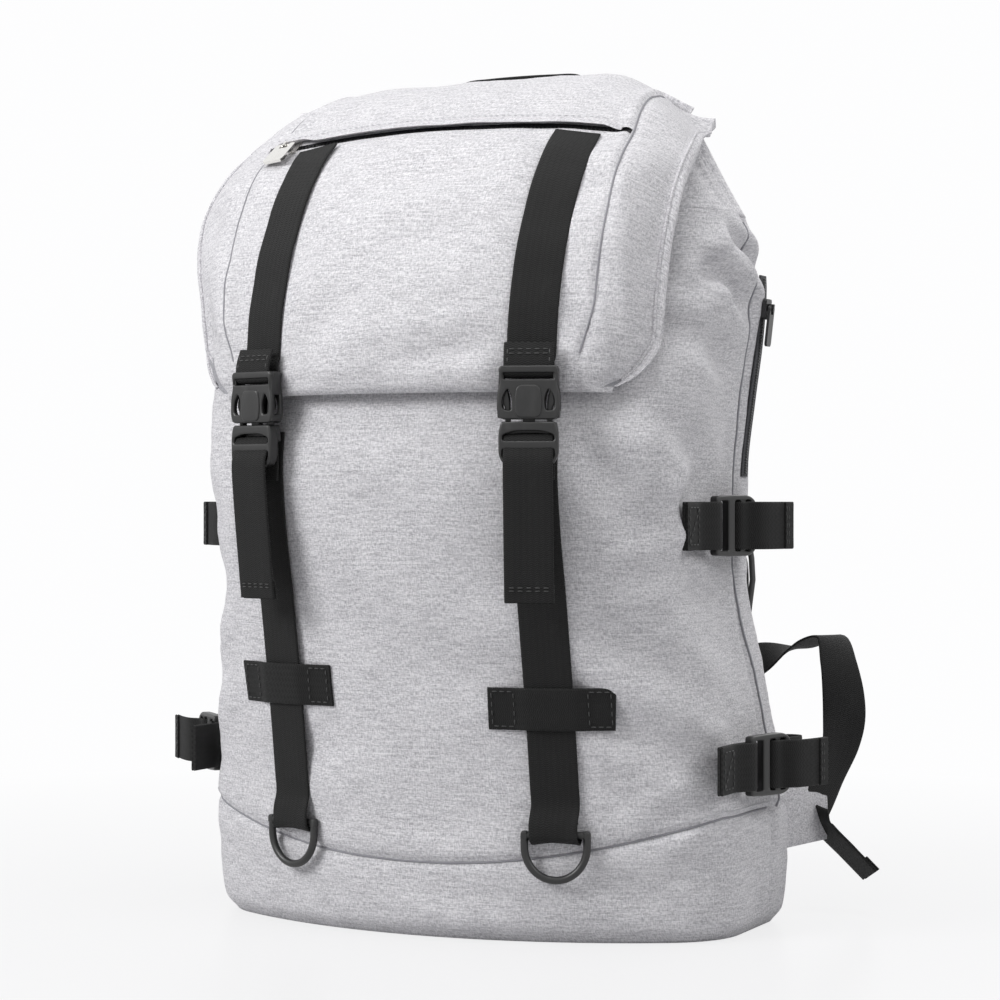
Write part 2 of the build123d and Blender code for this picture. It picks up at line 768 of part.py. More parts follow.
def keeper(side):
    """Loop of webbing sewn across the strap, humped over it."""
    level = keeper_level - side * keeper_unevenness
    z_low = level - keeper_height / 2
    z_high = level + keeper_height / 2
    y_low = front_y(strap_x, z_low)
    y_high = front_y(strap_x, z_high)
    flat = 0.5 + keeper_thickness / 2
    hump = strap_gap + webbing_thickness + layer_gap + keeper_thickness / 2
    half = keeper_width / 2
    bend = sag(half, front_radius)
    step = webbing / 2 + 1.6
    points = [(-half, flat - bend), (-step - 4, flat - sag(step + 4)), (-step, hump), (step, hump)]
    points += [(step + 4, flat - sag(step + 4)), (half, flat - bend)]
    plane = strap_plane(side, y_low, z_low)
    strip = ribbon([(x, z) for x, z in points], keeper_thickness)
    face = make_face(Polyline(*[plane.from_local_coords(Vector(x, 0, z)) for x, z in strip], close=True))
    rise = Vector(0, y_high - y_low, keeper_height)
    return extrude(face, amount=rise.length, dir=rise.normalized())


def ring(side):
    """D-ring: a bar inside the webbing's loop and an arc below it."""
    half = ring_width / 2 - ring_wire / 2
    arc_middle = -(ring_drop - ring_wire)
    straight = -6.0
    path = (
        Polyline((-half, straight, 0), (-half, 0, 0), (half, 0, 0), (half, straight, 0)).edges()
        + ThreePointArc((half, straight, 0), (0, arc_middle, 0), (-half, straight, 0)).edges()
    )
    bar = Rot(0, 90, 0) * Cylinder(ring_wire / 2, 2 * half)
    arc = sweep(
        Plane(origin=(half, straight, 0), z_dir=(0, 1, 0)) * Circle(ring_wire / 2),
        path=ThreePointArc((half, straight, 0), (0, arc_middle, 0), (-half, straight, 0)),
    )
    legs = []
    for hand in (-1, 1):
        leg = Pos(hand * half, straight / 2, 0) * Rot(90, 0, 0) * Cylinder(ring_wire / 2, -straight)
        legs.append(leg + Pos(hand * half, 0, 0) * Sphere(ring_wire / 2))
    solid = bar + legs[0] + legs[1] + arc
    return place(strap_plane(side, ring_y(), ring_level), solid)


for side, hand in ((-1, "left"), (1, "right")):
    keep(f"{hand}_upper_strap", upper_strap(side))
    keep(f"{hand}_buckle_socket", socket(side))
    keep(f"{hand}_buckle_clip", clip(side))
    keep(f"{hand}_buckle_prongs", prongs(side))
    keep(f"{hand}_strap_tail", strap_tail(side))
    keep(f"{hand}_front_strap", main_strap(side))
    keep(f"{hand}_keeper", keeper(side))
    keep(f"{hand}_d_ring", ring(side))


# ---------------------------------------------------------------- side compression straps
def side_wall_x(z, reach):
    """Outermost X of the side wall over a height of webbing."""
    return max(station_values(z - reach)[0], station_values(z)[0], station_values(z + reach)[0])


def side_pivot(z):
    return (side_wall_x(z, side_buckle_height / 2) + side_pivot_standoff, side_pivot_y)


def mirrored(side, points):
    return [(side * x, y) for x, y in points]


def side_band(side, points, thickness, z, width):
    face = xy_face(mirrored(side, ribbon(points, thickness)), z - width / 2)
    return extrude(face, amount=width, dir=(0, 0, 1))


def side_anchor(side, z):
    """Doubled webbing sewn to the side, looped round the buckle's front bar."""
    px, py = side_pivot(z)
    wall_x = side_wall_x(z, webbing / 2) + 0.5 + half_web
    loop = side_bar / 2 + layer_gap + half_web
    path = [(wall_x, py - side_anchor_length), (wall_x, py - 8)]
    path += [(px - loop, py - 2.5)] + turn((px, py), loop, 180, 0, 8)
    path += [(px + loop, py - 2.5), (wall_x + webbing_thickness + 0.1, py - 11)]
    path += [(wall_x + webbing_thickness + 0.1, py - side_anchor_length)]
    return side_band(side, path, webbing_thickness, z, webbing)


def buckle_frame(side, z):
    """Plane at the pivot: X along the buckle to the rear, Y up, Z out; tilted off the wall."""
    px, py = side_pivot(z)
    tilt = math.radians(side_buckle_tilt)
    along = Vector(side * math.sin(tilt), math.cos(tilt), 0)
    out = Vector(side * math.cos(tilt), -math.sin(tilt), 0)
    return Plane(origin=(side * px, py, z), x_dir=along, z_dir=out)


def side_buckle(side, z):
    """Tension-lock buckle: front bar in the anchor's loop, two slots behind, a thumb tab."""
    length, height, t = side_buckle_length, side_buckle_height, side_buckle_thickness
    open_height = webbing + 1.2
    frame = Pos(length / 2 - side_bar / 2, 0, 0) * Box(length, height, t)
    frame = fillet(frame.edges().filter_by(Axis.Z), 2.4)
    front_slot = Pos(side_bar / 2 + 3.4, 0, 0) * Box(6.8, open_height, t + 2)
    middle_slot = Pos(16.0, 0, 0) * Box(4.4, open_height, t + 2)
    rear_slot = Pos(24.4, 0, 0) * Box(4.4, open_height, t + 2)
    bar_relief = Pos(0, 0, 0) * Box(side_bar + 2, open_height, t + 2)
    bar = Rot(90, 0, 0) * Cylinder(side_bar / 2, height - 3)
    tab = Pos(length - side_bar / 2 - 1.0, 0, t / 2 + 1.0) * Box(5.0, height - 6, 4.6)
    part = frame - front_slot - middle_slot - rear_slot - bar_relief + bar + tab
    return place(buckle_frame(side, z), part)


def side_tail(side, z):
    """Webbing threaded round the buckle's middle bar, with its tail pointing back."""
    plane = buckle_frame(side, z)
    t = side_buckle_thickness / 2
    inner_out = -t - layer_gap - half_web
    outer_out = t + layer_gap + half_web
    local = [
        (31.0, inner_out),
        (16.4, inner_out),
        (15.4, inner_out + 1.0),
        (15.4, outer_out - 1.0),
        (16.4, outer_out),
        (22.6, outer_out),
        (27.0, outer_out + 4.6),
        (27.0 + side_tail_length, outer_out + 6.0),
    ]
    strip = ribbon(local, webbing_thickness)
    low = -webbing / 2
    face = make_face(Polyline(*[plane.from_local_coords(Vector(x, low, o)) for x, o in strip], close=True))
    return extrude(face, amount=webbing, dir=plane.y_dir)


def side_strap(side, z):
    """Webbing from the rear seam, out to a slack fold, and forward to the buckle."""
    plane = buckle_frame(side, z)
    wall_x = side_wall_x(z, webbing / 2) + 0.6 + half_web
    t = side_buckle_thickness / 2
    inner_out = -t - layer_gap - half_web
    end = plane.from_local_coords(Vector(31.0 + 0.5, 0, inner_out))
    fold = plane.from_local_coords(Vector(50.0, 0, inner_out - 3.0))
    fold_x, fold_y = side * fold.X, fold.Y
    path = [(wall_x, rear_seam_y - 6), (wall_x, rear_seam_y), (wall_x + 4.0, rear_seam_y + 8)]
    path += [(wall_x + 9.0, fold_y + 6.5), (fold_x, fold_y + 5.0), (side * end.X, end.Y)]
    return side_band(side, path, webbing_thickness, z, webbing)


anchors = []
for side, hand in ((-1, "left"), (1, "right")):
    for level, z in side_levels.items():
        anchors.append(side_anchor(side, z))
        keep(f"{hand}_{level}_side_buckle", side_buckle(side, z))
        keep(f"{hand}_{level}_side_tail", side_tail(side, z))
        keep(f"{hand}_{level}_side_strap", side_strap(side, z))
keep("side_anchors", Compound(children=anchors))

# ---------------------------------------------------------------- side zip
zip_levels = [side_zip_bottom] + [
    s[0] * rim_height for s in body_stations if side_zip_bottom < s[0] * rim_height < side_zip_top
] + [side_zip_top]
tape_offset = 0.3 + zip_tape_thickness / 2
tape_path = [(station_values(z)[0] + tape_offset, z) for z in zip_levels]
tape_face = xz_face(ribbon(tape_path, zip_tape_thickness), side_zip_y - side_zip_width / 2)
keep("side_zip_tape", extrude(tape_face, amount=side_zip_width, dir=(0, 1, 0)))

side_travel_end = side_zip_bottom + 14
slide_top_x = station_values(side_slider_rest)[0]
slide_end_x = station_values(side_travel_end)[0]
slide_direction = _unit(slide_end_x - slide_top_x, side_travel_end - side_slider_rest)
side_slide_length = math.hypot(slide_end_x - slide_top_x, side_travel_end - side_slider_rest)
side_slider_standoff = 0.3 + zip_tape_thickness + 1.2
slider_plane = Plane(
    origin=(slide_top_x + side_slider_standoff, side_zip_y, side_slider_rest),
    x_dir=(0, 1, 0),
    z_dir=(-slide_direction[1], 0, slide_direction[0]),
)
side_slider = Pos(0, 0, 1.2) * Box(8.0, 11.0, 2.4)
side_slider = fillet(side_slider.edges().filter_by(Axis.Z), 1.6)
side_bail = Pos(0, 1.0, 3.8) * Box(1.6, 4.0, 3.2)
side_pin = Pos(0, 1.0, 3.9) * Rot(0, 90, 0) * Cylinder(bail_bore, 30)
keep("side_zip_slider", place(slider_plane, side_slider + side_bail - side_pin))
side_pull_plane = Plane(
    origin=slider_plane.from_local_coords(Vector(0, 1.0, 3.9)), x_dir=-slider_plane.x_dir, z_dir=slider_plane.z_dir
)
keep("side_zip_pull", place(side_pull_plane, zip_pull(7.0, 22.0, 1.4, 3.6)))


# ---------------------------------------------------------------- back pads, straps and handle
def back_y(z):
    """Y of the back's outer face, and of the plate above the rim."""
    if z <= rim_height:
        return station_values(z)[2]
    t = (z - rim_height) / (hinge_height - rim_height)
    return rim_back + (hinge_y - rim_back) * t


def pad(x_low, x_high, z_low, z_high):
    heights = [s[0] * rim_height for s in body_stations]
    levels = [z_low] + [h for h in heights if z_low + 4 < h < z_high - 4] + [z_high]
    path = [(back_y(z) + pad_gap + pad_thickness / 2, z) for z in levels]
    return extrude(yz_face(ribbon(path, pad_thickness), x_low), amount=x_high - x_low, dir=(1, 0, 0))


pads = [
    pad(-pad_width - 22, -22, 120, rim_height - 4),
    pad(22, pad_width + 22, 120, rim_height - 4),
    pad(-pad_width - 22, pad_width + 22, 52, 112),
]
keep("back_pads", Compound(children=pads))

yoke_low = rim_height + 8
yoke_levels = [yoke_low, hinge_height - 12]
yoke_path = [(back_y(z) + 0.5 + 1.0, z) for z in yoke_levels]
keep("strap_yoke", extrude(yz_face(ribbon(yoke_path, 2.0), -84), amount=168, dir=(1, 0, 0)))

shoulder_top = hinge_height - 40
shoulder_path = [
    (back_y(shoulder_top) + 2.5 - 1.3 + shoulder_thickness / 2, shoulder_top + 8),
    (back_y(shoulder_top) + 32, shoulder_top - 10),
    (back_reach + 30, shoulder_top - 56),
    (back_reach + 42, shoulder_top - 136),
    (back_reach + 46, shoulder_top - 216),
    (back_reach + 38, shoulder_top - 270),
]
shoulder_end = shoulder_path[-1]


def splayed(side, shape):
    """Leans a piece made at X = 0 outwards about the strap's upper end."""
    axis = Axis((0, 0, shoulder_top), (0, 1, 0))
    return Pos(side * shoulder_x, 0, 0) * shape.rotate(axis, -side * shoulder_splay)


def shoulder_strap(side):
    face = yz_face(ribbon(shoulder_path, shoulder_thickness), -shoulder_width / 2)
    solid = extrude(face, amount=shoulder_width, dir=(1, 0, 0))
    return splayed(side, solid)


def ladder_lock(side):
    """Ladder lock sewn to the strap's lower end."""
    height, width, t = 24.0, webbing + 7, 5.0
    frame = Box(width, t, height)
    frame = fillet(frame.edges().filter_by(Axis.Y), 2.4)
    frame -= Pos(0, 0, 6.0) * Box(webbing + 1.2, t + 2, 4.4)
    frame -= Pos(0, 0, -2.0) * Box(webbing + 1.2, t + 2, 4.4)
    return splayed(side, Pos(0, shoulder_end[0], shoulder_end[1] - height / 2 - 0.8) * frame)


wing_half, _, wing_back = station_values(wing_level)
wing_out = Vector(0.42, 0.907, 0).normalized()
wing_start_x = wing_half - back_corner_radius * 0.2
wing_start_y = wing_back - back_corner_radius * 0.55


def wing_tab(side):
    """Padded triangle of cloth sewn to the rear corner, carrying the lower webbing."""
    out = Vector(side * wing_out.X, wing_out.Y, 0)
    start = Vector(side * (wing_start_x + 2.2), wing_start_y + 1.6, wing_level)
    tip = start + out * wing_length
    half_root, half_tip = wing_root / 2, webbing / 2 + 1
    corners = [
        start + Vector(0, 0, -half_root),
        tip + Vector(0, 0, -half_tip - 4),
        tip + Vector(0, 0, half_tip - 4),
        start + Vector(0, 0, half_root),
    ]
    across = Vector(side * wing_out.Y, -wing_out.X, 0)
    face = make_face(Polyline(*corners, close=True))
    return extrude(face, amount=wing_thickness, dir=across)


def lower_webbing(side):
    """Webbing from the ladder lock, up over a slack fold and down to the wing's tip."""
    start = Vector(side * (wing_start_x + 2.2), wing_start_y + 1.6, 0)
    tip = start + Vector(side * wing_out.X, wing_out.Y, 0) * (wing_length + 0.8)
    across = Vector(side * wing_out.Y, -wing_out.X, 0)
    drop = math.radians(shoulder_splay)
    length = shoulder_top - shoulder_end[1]
    lock_edge = (webbing + 7) / 2 * math.cos(drop) + 0.6
    lock = Vector(side * (shoulder_x + math.sin(drop) * (length + 16) + lock_edge), shoulder_end[0] - 4.0, 0)
    run = tip - lock
    reach = run.length
    direction = run.normalized()
    lock_z = shoulder_top - math.cos(drop) * (length + 16)
    path = [
        (0.0, lock_z),
        (reach * 0.3, lock_z - 3),
        (reach * 0.58, lock_z + 14),
        (reach * 0.8, lock_z + 22),
        (reach * 0.95, lock_z + 14),
        (reach, lock_z - 4),
        (reach, wing_level + 14),
    ]
    strip = ribbon(path, webbing_thickness)
    width_dir = Vector(-direction.Y, direction.X, 0)
    if width_dir.Y < 0:
        width_dir = width_dir * -1
    base = lock
    corners = [base + direction * h + Vector(0, 0, z) for h, z in strip]
    face = make_face(Polyline(*corners, close=True))
    return extrude(face, amount=webbing, dir=width_dir)


def webbing_tail(side):
    """Loose hemmed tail that hangs from the wing's tip."""
    start = Vector(side * (wing_start_x + 2.2), wing_start_y + 1.6, 0)
    tip = start + Vector(side * wing_out.X, wing_out.Y, 0) * (wing_length + 0.8)
    out = Vector(side * wing_out.X, wing_out.Y, 0)
    path = [(0.0, wing_level + 8), (2.0, wing_level - 12), (12.0, wing_level - 38)]
    strip = ribbon(path, webbing_thickness)
    across = Vector(side * wing_out.Y, -wing_out.X, 0)
    corners = [tip + out * h + Vector(0, 0, z) for h, z in strip]
    face = make_face(Polyline(*corners, close=True))
    return extrude(face, amount=webbing, dir=across)


for side, hand in ((-1, "left"), (1, "right")):
    keep(f"{hand}_shoulder_strap", shoulder_strap(side))
    keep(f"{hand}_ladder_lock", ladder_lock(side))
    keep(f"{hand}_lower_webbing", lower_webbing(side))
    keep(f"{hand}_webbing_tail", webbing_tail(side))
    keep(f"{hand}_wing_tab", wing_tab(side))

handle_width = webbing * 0.8
handle_z = hinge_height - 12
anchor_face = back_y(handle_z - anchor_height - 0.4) + 2.5 + 0.4
handle_y = anchor_face + 5.0
handle_path = [(-handle_half_span, handle_z), (-handle_half_span + 3, handle_z + handle_rise * 0.6)]
handle_path += [(-handle_half_span + 14, handle_z + handle_rise), (handle_half_span - 14, handle_z + handle_rise)]
handle_path += [(handle_half_span - 3, handle_z + handle_rise * 0.6), (handle_half_span, handle_z)]
handle_face = xz_face(ribbon(handle_path, handle_thickness), handle_y)
keep("grab_handle", extrude(handle_face, amount=handle_width, dir=(0, 1, 0)))
handle_anchors = [
    box_between(
        (x - 4, anchor_face, handle_z - anchor_height - 0.4),
        (x + 4, handle_y + handle_width - 3, handle_z - 0.4),
    )
    for x in (-handle_half_span, handle_half_span)
]
keep("handle_anchors", Compound(children=handle_anchors))

# ---------------------------------------------------------------- files
os.makedirs("parts", exist_ok=True)
for name, shape in PARTS.items():
    export_step(shape, f"parts/{name}.step")
print(len(PARTS), "nodes")
print("lid hinge", hinge_y, hinge_height)
print("zip track", track_centre, track_axis.direction, "turn", track_turn * 2)
pull_axis_point = Vertex(0, *pin_point).rotate(track_axis, -track_turn)
print("lid pull pin", pull_axis_point.center(), "turn about the track axis", -track_turn)
print("clips", clip_level, buckle_back, "lean", math.degrees(strap_lean), "rings", ring_y(), ring_level)
print("side slide", slider_plane.origin, slide_direction, side_slide_length, "pull pin", side_pull_plane.origin)
print("side pivots", {level: side_pivot(z) for level, z in side_levels.items()}, side_levels)
print("handle axis", handle_y + handle_width, handle_z, "shoulder axis", shoulder_top, back_y(shoulder_top))
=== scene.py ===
"""An upright daypack: heather cloth body, buckled lid pocket, black webbing and moulded buckles."""

import logging
import math
from dataclasses import dataclass, field
from enum import Enum
from typing import Callable, Sequence

import bmesh
import bpy
from mathutils import Matrix, Vector, noise


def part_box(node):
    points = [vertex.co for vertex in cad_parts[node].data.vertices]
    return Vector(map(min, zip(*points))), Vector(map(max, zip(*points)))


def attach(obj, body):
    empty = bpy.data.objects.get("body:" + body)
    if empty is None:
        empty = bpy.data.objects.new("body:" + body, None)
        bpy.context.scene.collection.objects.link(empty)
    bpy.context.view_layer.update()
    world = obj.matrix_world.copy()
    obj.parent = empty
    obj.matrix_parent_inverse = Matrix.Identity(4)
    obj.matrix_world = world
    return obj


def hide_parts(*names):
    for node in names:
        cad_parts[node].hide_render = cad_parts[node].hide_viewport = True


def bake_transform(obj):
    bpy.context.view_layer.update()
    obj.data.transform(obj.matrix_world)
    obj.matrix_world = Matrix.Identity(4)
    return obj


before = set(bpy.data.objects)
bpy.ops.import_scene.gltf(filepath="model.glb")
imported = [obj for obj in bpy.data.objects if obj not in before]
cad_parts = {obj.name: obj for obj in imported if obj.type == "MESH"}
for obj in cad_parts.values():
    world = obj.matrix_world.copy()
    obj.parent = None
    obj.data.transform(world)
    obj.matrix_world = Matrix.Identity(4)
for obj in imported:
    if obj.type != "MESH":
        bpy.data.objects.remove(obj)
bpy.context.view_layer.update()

log = logging.getLogger("daypack")
MM = 0.001
Point = tuple[float, float, float]


class Side(Enum):
    """The two hands of the pack, as someone facing its front sees them."""

    LEFT = -1
    RIGHT = 1

    @property
    def hand(self) -> str:
        """The word used in node and body names."""
        return self.name.lower()


class Level(Enum):
    """The two heights of the side straps."""

    UPPER = 214.0
    LOWER = 90.0


# ------------------------------------------------------------------ small geometry helpers
def lerp(a: float, b: float, t: float) -> float:
    """Value a share t of the way from a to b."""
    return a + (b - a) * t


def bell(distance: float, width: float) -> float:
    """Smooth bump that is 1 at no distance and fades over a width."""
    return math.exp(-((distance / width) ** 2))


def ease(t: float) -> float:
    """Smooth step from 0 to 1."""
    t = min(max(t, 0.0), 1.0)
    return t * t * (3 - 2 * t)


def spline_at(values: Sequence[Sequence[float]], place: float) -> list[float]:
    """Catmull-Rom value of rows whose first column is their place.

    Args:
        values: rows of (place, value, value, ...), in rising order.
        place: where to read them.

    Returns:
        The smoothed values, without the place.
    """
    last = len(values) - 1
    index = next((i for i in range(last) if place <= values[i + 1][0]), last - 1)
    low, high = values[index], values[index + 1]
    before, after = values[max(index - 1, 0)], values[min(index + 2, last)]
    t = min(max((place - low[0]) / (high[0] - low[0]), 0.0), 1.0)
    out = []
    for column in range(1, len(low)):
        span = high[0] - low[0]
        slope_low = (high[column] - before[column]) / (high[0] - before[0]) * span
        slope_high = (after[column] - low[column]) / (after[0] - low[0]) * span
        a, b = low[column], high[column]
        out.append(
            (2 * t**3 - 3 * t**2 + 1) * a
            + (t**3 - 2 * t**2 + t) * slope_low
            + (-2 * t**3 + 3 * t**2) * b
            + (t**3 - t**2) * slope_high
        )
    return out


def smooth_path(points: Sequence[Point], step: float) -> list[Vector]:
    """Evenly stepped smooth line through points.

    Args:
        points: the points it passes.
        step: the wanted distance between two points of the result.

    Returns:
        Points along the line, both ends included.
    """
    knots = [Vector(p) for p in points]
    lengths = [0.0]
    for a, b in zip(knots, knots[1:]):
        lengths.append(lengths[-1] + (b - a).length)
    rows = [(s, *k) for s, k in zip(lengths, knots)]
    count = max(int(lengths[-1] / step), 2)
    return [Vector(spline_at(rows, lengths[-1] * i / count)) for i in range(count + 1)]


def new_object(name: str, vertices: Sequence[Point], faces: Sequence[Sequence[int]]) -> bpy.types.Object:
    """Mesh object from vertices and faces, linked into the scene."""
    mesh = bpy.data.meshes.new(name)
    mesh.from_pydata([tuple(v) for v in vertices], [], faces)
    mesh.validate()
    obj = bpy.data.objects.new(name, mesh)
    bpy.context.scene.collection.objects.link(obj)
    return obj


def smooth_shading(obj: bpy.types.Object, angle: float = 40.0) -> None:
    """Shades an object smooth, with sharp edges above an angle in degrees."""
    mesh = obj.data
    mesh.polygons.foreach_set("use_smooth", [True] * len(mesh.polygons))
    mesh.set_sharp_from_angle(angle=math.radians(angle))


def apply_modifiers(obj: bpy.types.Object) -> None:
    """Bakes an object's modifiers into its mesh."""
    graph = bpy.context.evaluated_depsgraph_get()
    graph.update()
    mesh = bpy.data.meshes.new_from_object(obj.evaluated_get(graph), depsgraph=graph)
    obj.modifiers.clear()
    obj.data = mesh


def grid_object(
    name: str,
    columns: int,
    rows: int,
    point: Callable[[float, float], Vector],
    keep: Callable[[float, float], bool] = lambda u, v: True,
    closed: bool = False,
) -> bpy.types.Object:
    """Sheet of quads over a unit square, with a UV map in metres.

    Args:
        name: the object's name.
        columns: quads across u.
        rows: quads across v.
        point: place of a (u, v).
        keep: whether the quad at a (u, v) middle stays.
        closed: whether the last column joins the first.

    Returns:
        The new object.
    """
    wide = columns if closed else columns + 1
    spots = [[point(c / columns, r / rows) for c in range(wide)] for r in range(rows + 1)]
    faces, uvs = [], []
    run_u = [[0.0] for _ in range(rows + 1)]
    for r in range(rows + 1):
        for c in range(columns):
            run_u[r].append(run_u[r][-1] + (spots[r][(c + 1) % wide] - spots[r][c]).length)
    middle = columns // 2
    run_v = [[0.0] * (columns + 1) for _ in range(rows + 1)]
    for r in range(1, rows + 1):
        climb = (spots[r][middle % wide] - spots[r - 1][middle % wide]).length
        run_v[r] = [value + climb for value in run_v[r - 1]]
    for r in range(rows):
        for c in range(columns):
            if not keep((c + 0.5) / columns, (r + 0.5) / rows):
                continue
            nxt = (c + 1) % wide
            faces.append((r * wide + c, r * wide + nxt, (r + 1) * wide + nxt, (r + 1) * wide + c))
            for rr, cc in ((r, c), (r, c + 1), (r + 1, c + 1), (r + 1, c)):
                uvs.append((run_u[rr][cc] - run_u[rr][middle], run_v[rr][cc]))
    obj = new_object(name, [p for row in spots for p in row], faces)
    layer = obj.data.uv_layers.new(name="cloth")
    layer.data.foreach_set("uv", [value for pair in uvs for value in pair])
    smooth_shading(obj, 60)
    return obj


def thicken(
    obj: bpy.types.Object, thickness: float, offset: float = -1.0, inner_material: bool = False
) -> None:
    """Gives a sheet its thickness.

    Args:
        obj: the sheet.
        thickness: in metres.
        offset: -1 grows it inwards, 0 both ways.
        inner_material: whether its inner face takes the object's second material.
    """
    solid = obj.modifiers.new("thickness", "SOLIDIFY")
    solid.thickness = thickness
    solid.offset = offset
    solid.use_even_offset = True
    if inner_material:
        solid.material_offset = 1
    apply_modifiers(obj)


def join(name: str, objects: Sequence[bpy.types.Object]) -> bpy.types.Object:
    """Joins objects into one mesh, keeping UVs and materials by slot order."""
    bm = bmesh.new()
    materials: list[bpy.types.Material] = []
    for obj in objects:
        start = len(bm.faces)
        bm.from_mesh(obj.data)
        bm.faces.ensure_lookup_table()
        for face in bm.faces[start:]:
            material = obj.data.materials[face.material_index] if obj.data.materials else None
            if material is not None:
                if material not in materials:
                    materials.append(material)
                face.material_index = materials.index(material)
    mesh = bpy.data.meshes.new(name)
    bm.to_mesh(mesh)
    bm.free()
    for material in materials:
        mesh.materials.append(material)
    for obj in objects:
        bpy.data.objects.remove(obj)
    result = bpy.data.objects.new(name, mesh)
    bpy.context.scene.collection.objects.link(result)
    return result


def ribbon(
    name: str,
    path: Sequence[Point],
    across: Sequence[Point],
    width: float,
    thickness: float = 1.5 * MM,
    step: float = 2.0 * MM,
) -> bpy.types.Object:
    """Webbing that follows a smooth path, with rounded selvedges.

    Args:
        name: the object's name.
        path: points of its middle line.
        across: the direction of its width at each of those points.
        width: of the webbing.
        thickness: of the webbing.
        step: distance between its cross-sections.

    Returns:
        The new object, with UVs in metres: u across, v along.
    """
    middle = smooth_path(path, step)
    knots = [Vector(p) for p in path]
    lengths = [0.0]
    for a, b in zip(knots, knots[1:]):
        lengths.append(lengths[-1] + (b - a).length)
    rows = [(s, *Vector(d).normalized()) for s, d in zip(lengths, across)]
    total = lengths[-1]
    half, edge = width / 2, thickness / 2
    profile = [
        (-half, 0.0), (-half + edge * 0.4, edge * 0.75), (
            -half + edge * 1.6, edge * 0.95
        ), (-half * 0.45, edge * 0.84),
        (0.0, edge * 0.88), (half * 0.45, edge * 0.84), (half - edge * 1.6, edge * 0.95), (
            half - edge * 0.4, edge * 0.75
        ),
        (half, 0.0), (half - edge * 0.4, -edge * 0.75), (
            half - edge * 1.6, -edge * 0.95
        ), (half * 0.45, -edge * 0.84),
        (0.0, -edge * 0.88), (-half * 0.45, -edge * 0.84), (-half + edge * 1.6, -edge * 0.95), (
            -half + edge * 0.4, -edge * 0.75
        ),
    ]
    size = len(profile)
    vertices: list[Vector] = []
    run = [0.0]
    last = len(middle) - 1
    for i, spot in enumerate(middle):
        along = (middle[min(i + 1, last)] - middle[max(i - 1, 0)]).normalized()
        side = Vector(spline_at(rows, total * i / last))
        side = (side - along * side.dot(along)).normalized()
        up = side.cross(along)
        vertices += [spot + side * a + up * b for a, b in profile]
        if i:
            run.append(run[-1] + (spot - middle[i - 1]).length)
    faces, uvs = [], []
    for i in range(last):
        for k in range(size):
            nxt = (k + 1) % size
            faces.append((i * size + k, i * size + nxt, (i + 1) * size + nxt, (i + 1) * size + k))
            uvs += [
                (profile[k][0], run[i]), (profile[nxt][0], run[i]),
                (profile[nxt][0], run[i + 1]), (profile[k][0], run[i + 1]),
            ]
    for start, order in ((0, range(size - 1, -1, -1)), (last * size, range(size))):
        faces.append([start + k for k in order])
        uvs += [(profile[k][0], run[0 if start == 0 else -1]) for k in order]
    obj = new_object(name, vertices, faces)
    layer = obj.data.uv_layers.new(name="cloth")
    layer.data.foreach_set("uv", [value for pair in uvs for value in pair])
    smooth_shading(obj, 70)
    return obj


def stitches(
    name: str,
    rows: Sequence[Sequence[Point]],
    normals: Sequence[Point],
    length: float = 2.6 * MM,
    gap: float = 1.1 * MM,
    radius: float = 0.32 * MM,
) -> bpy.types.Object:
    """Rows of thread: short slightly sunk capsules laid end to end.

    Args:
        name: the object's name.
        rows: a polyline for each row.
        normals: the way out of the cloth for each row.
        length: of one stitch.
        gap: between two stitches.
        radius: of the thread.

    Returns:
        One object with all the stitches.
    """
    vertices, faces = [], []
    rings = ((0.0, 0.35), (0.2, 0.9), (0.5, 1.0), (0.8, 0.9), (1.0, 0.35))
    for points, normal in zip(rows, normals):
        out = Vector(normal).normalized()
        knots = [Vector(p) for p in points]
        for a, b in zip(knots, knots[1:]):
            span = (b - a).length
            count = max(int(span / (length + gap)), 1)
            along = (b - a).normalized()
            across = along.cross(out).normalized()
            for i in range(count):
                start = a + along * (span * (i + 0.5) / count - length / 2)
                base = len(vertices)
                for share, size in rings:
                    lift = math.sin(math.pi * share) * radius * 0.5
                    for k in range(6):
                        turn = math.tau * k / 6
                        spot = across * math.cos(turn) + out * math.sin(turn)
                        vertices.append(start + along * length * share + out * lift + spot * radius * size)
                for r in range(len(rings) - 1):
                    for k in range(6):
                        n = (k + 1) % 6
                        faces.append(
                            (base + r * 6 + k, base + r * 6 + n, base + r * 6 + 6 + n, base + r * 6 + 6 + k)
                        )
                faces.append([base + k for k in range(5, -1, -1)])
                faces.append([base + (len(rings) - 1) * 6 + k for k in range(6)])
    obj = new_object(name, vertices, faces)
    smooth_shading(obj, 60)
    return obj


def rounded(points: Sequence[tuple[float, float, float]], steps: int = 6) -> list[tuple[float, float]]:
    """Outline with its corners rounded.

    Args:
        points: (x, y, radius) of each corner.
        steps: pieces of each round corner.

    Returns:
        The outline as (x, y) points.
    """
    out = []
    count = len(points)
    for i, (x, y, radius) in enumerate(points):
        here = Vector((x, y))
        back = (Vector(points[i - 1][:2]) - here)
        ahead = (Vector(points[(i + 1) % count][:2]) - here)
        cut = min(radius, back.length * 0.48, ahead.length * 0.48)
        a, b = here + back.normalized() * cut, here + ahead.normalized() * cut
        for k in range(steps + 1):
            t = k / steps
            out.append(tuple(a * (1 - t) ** 2 + here * 2 * t * (1 - t) + b * t**2))
    return out


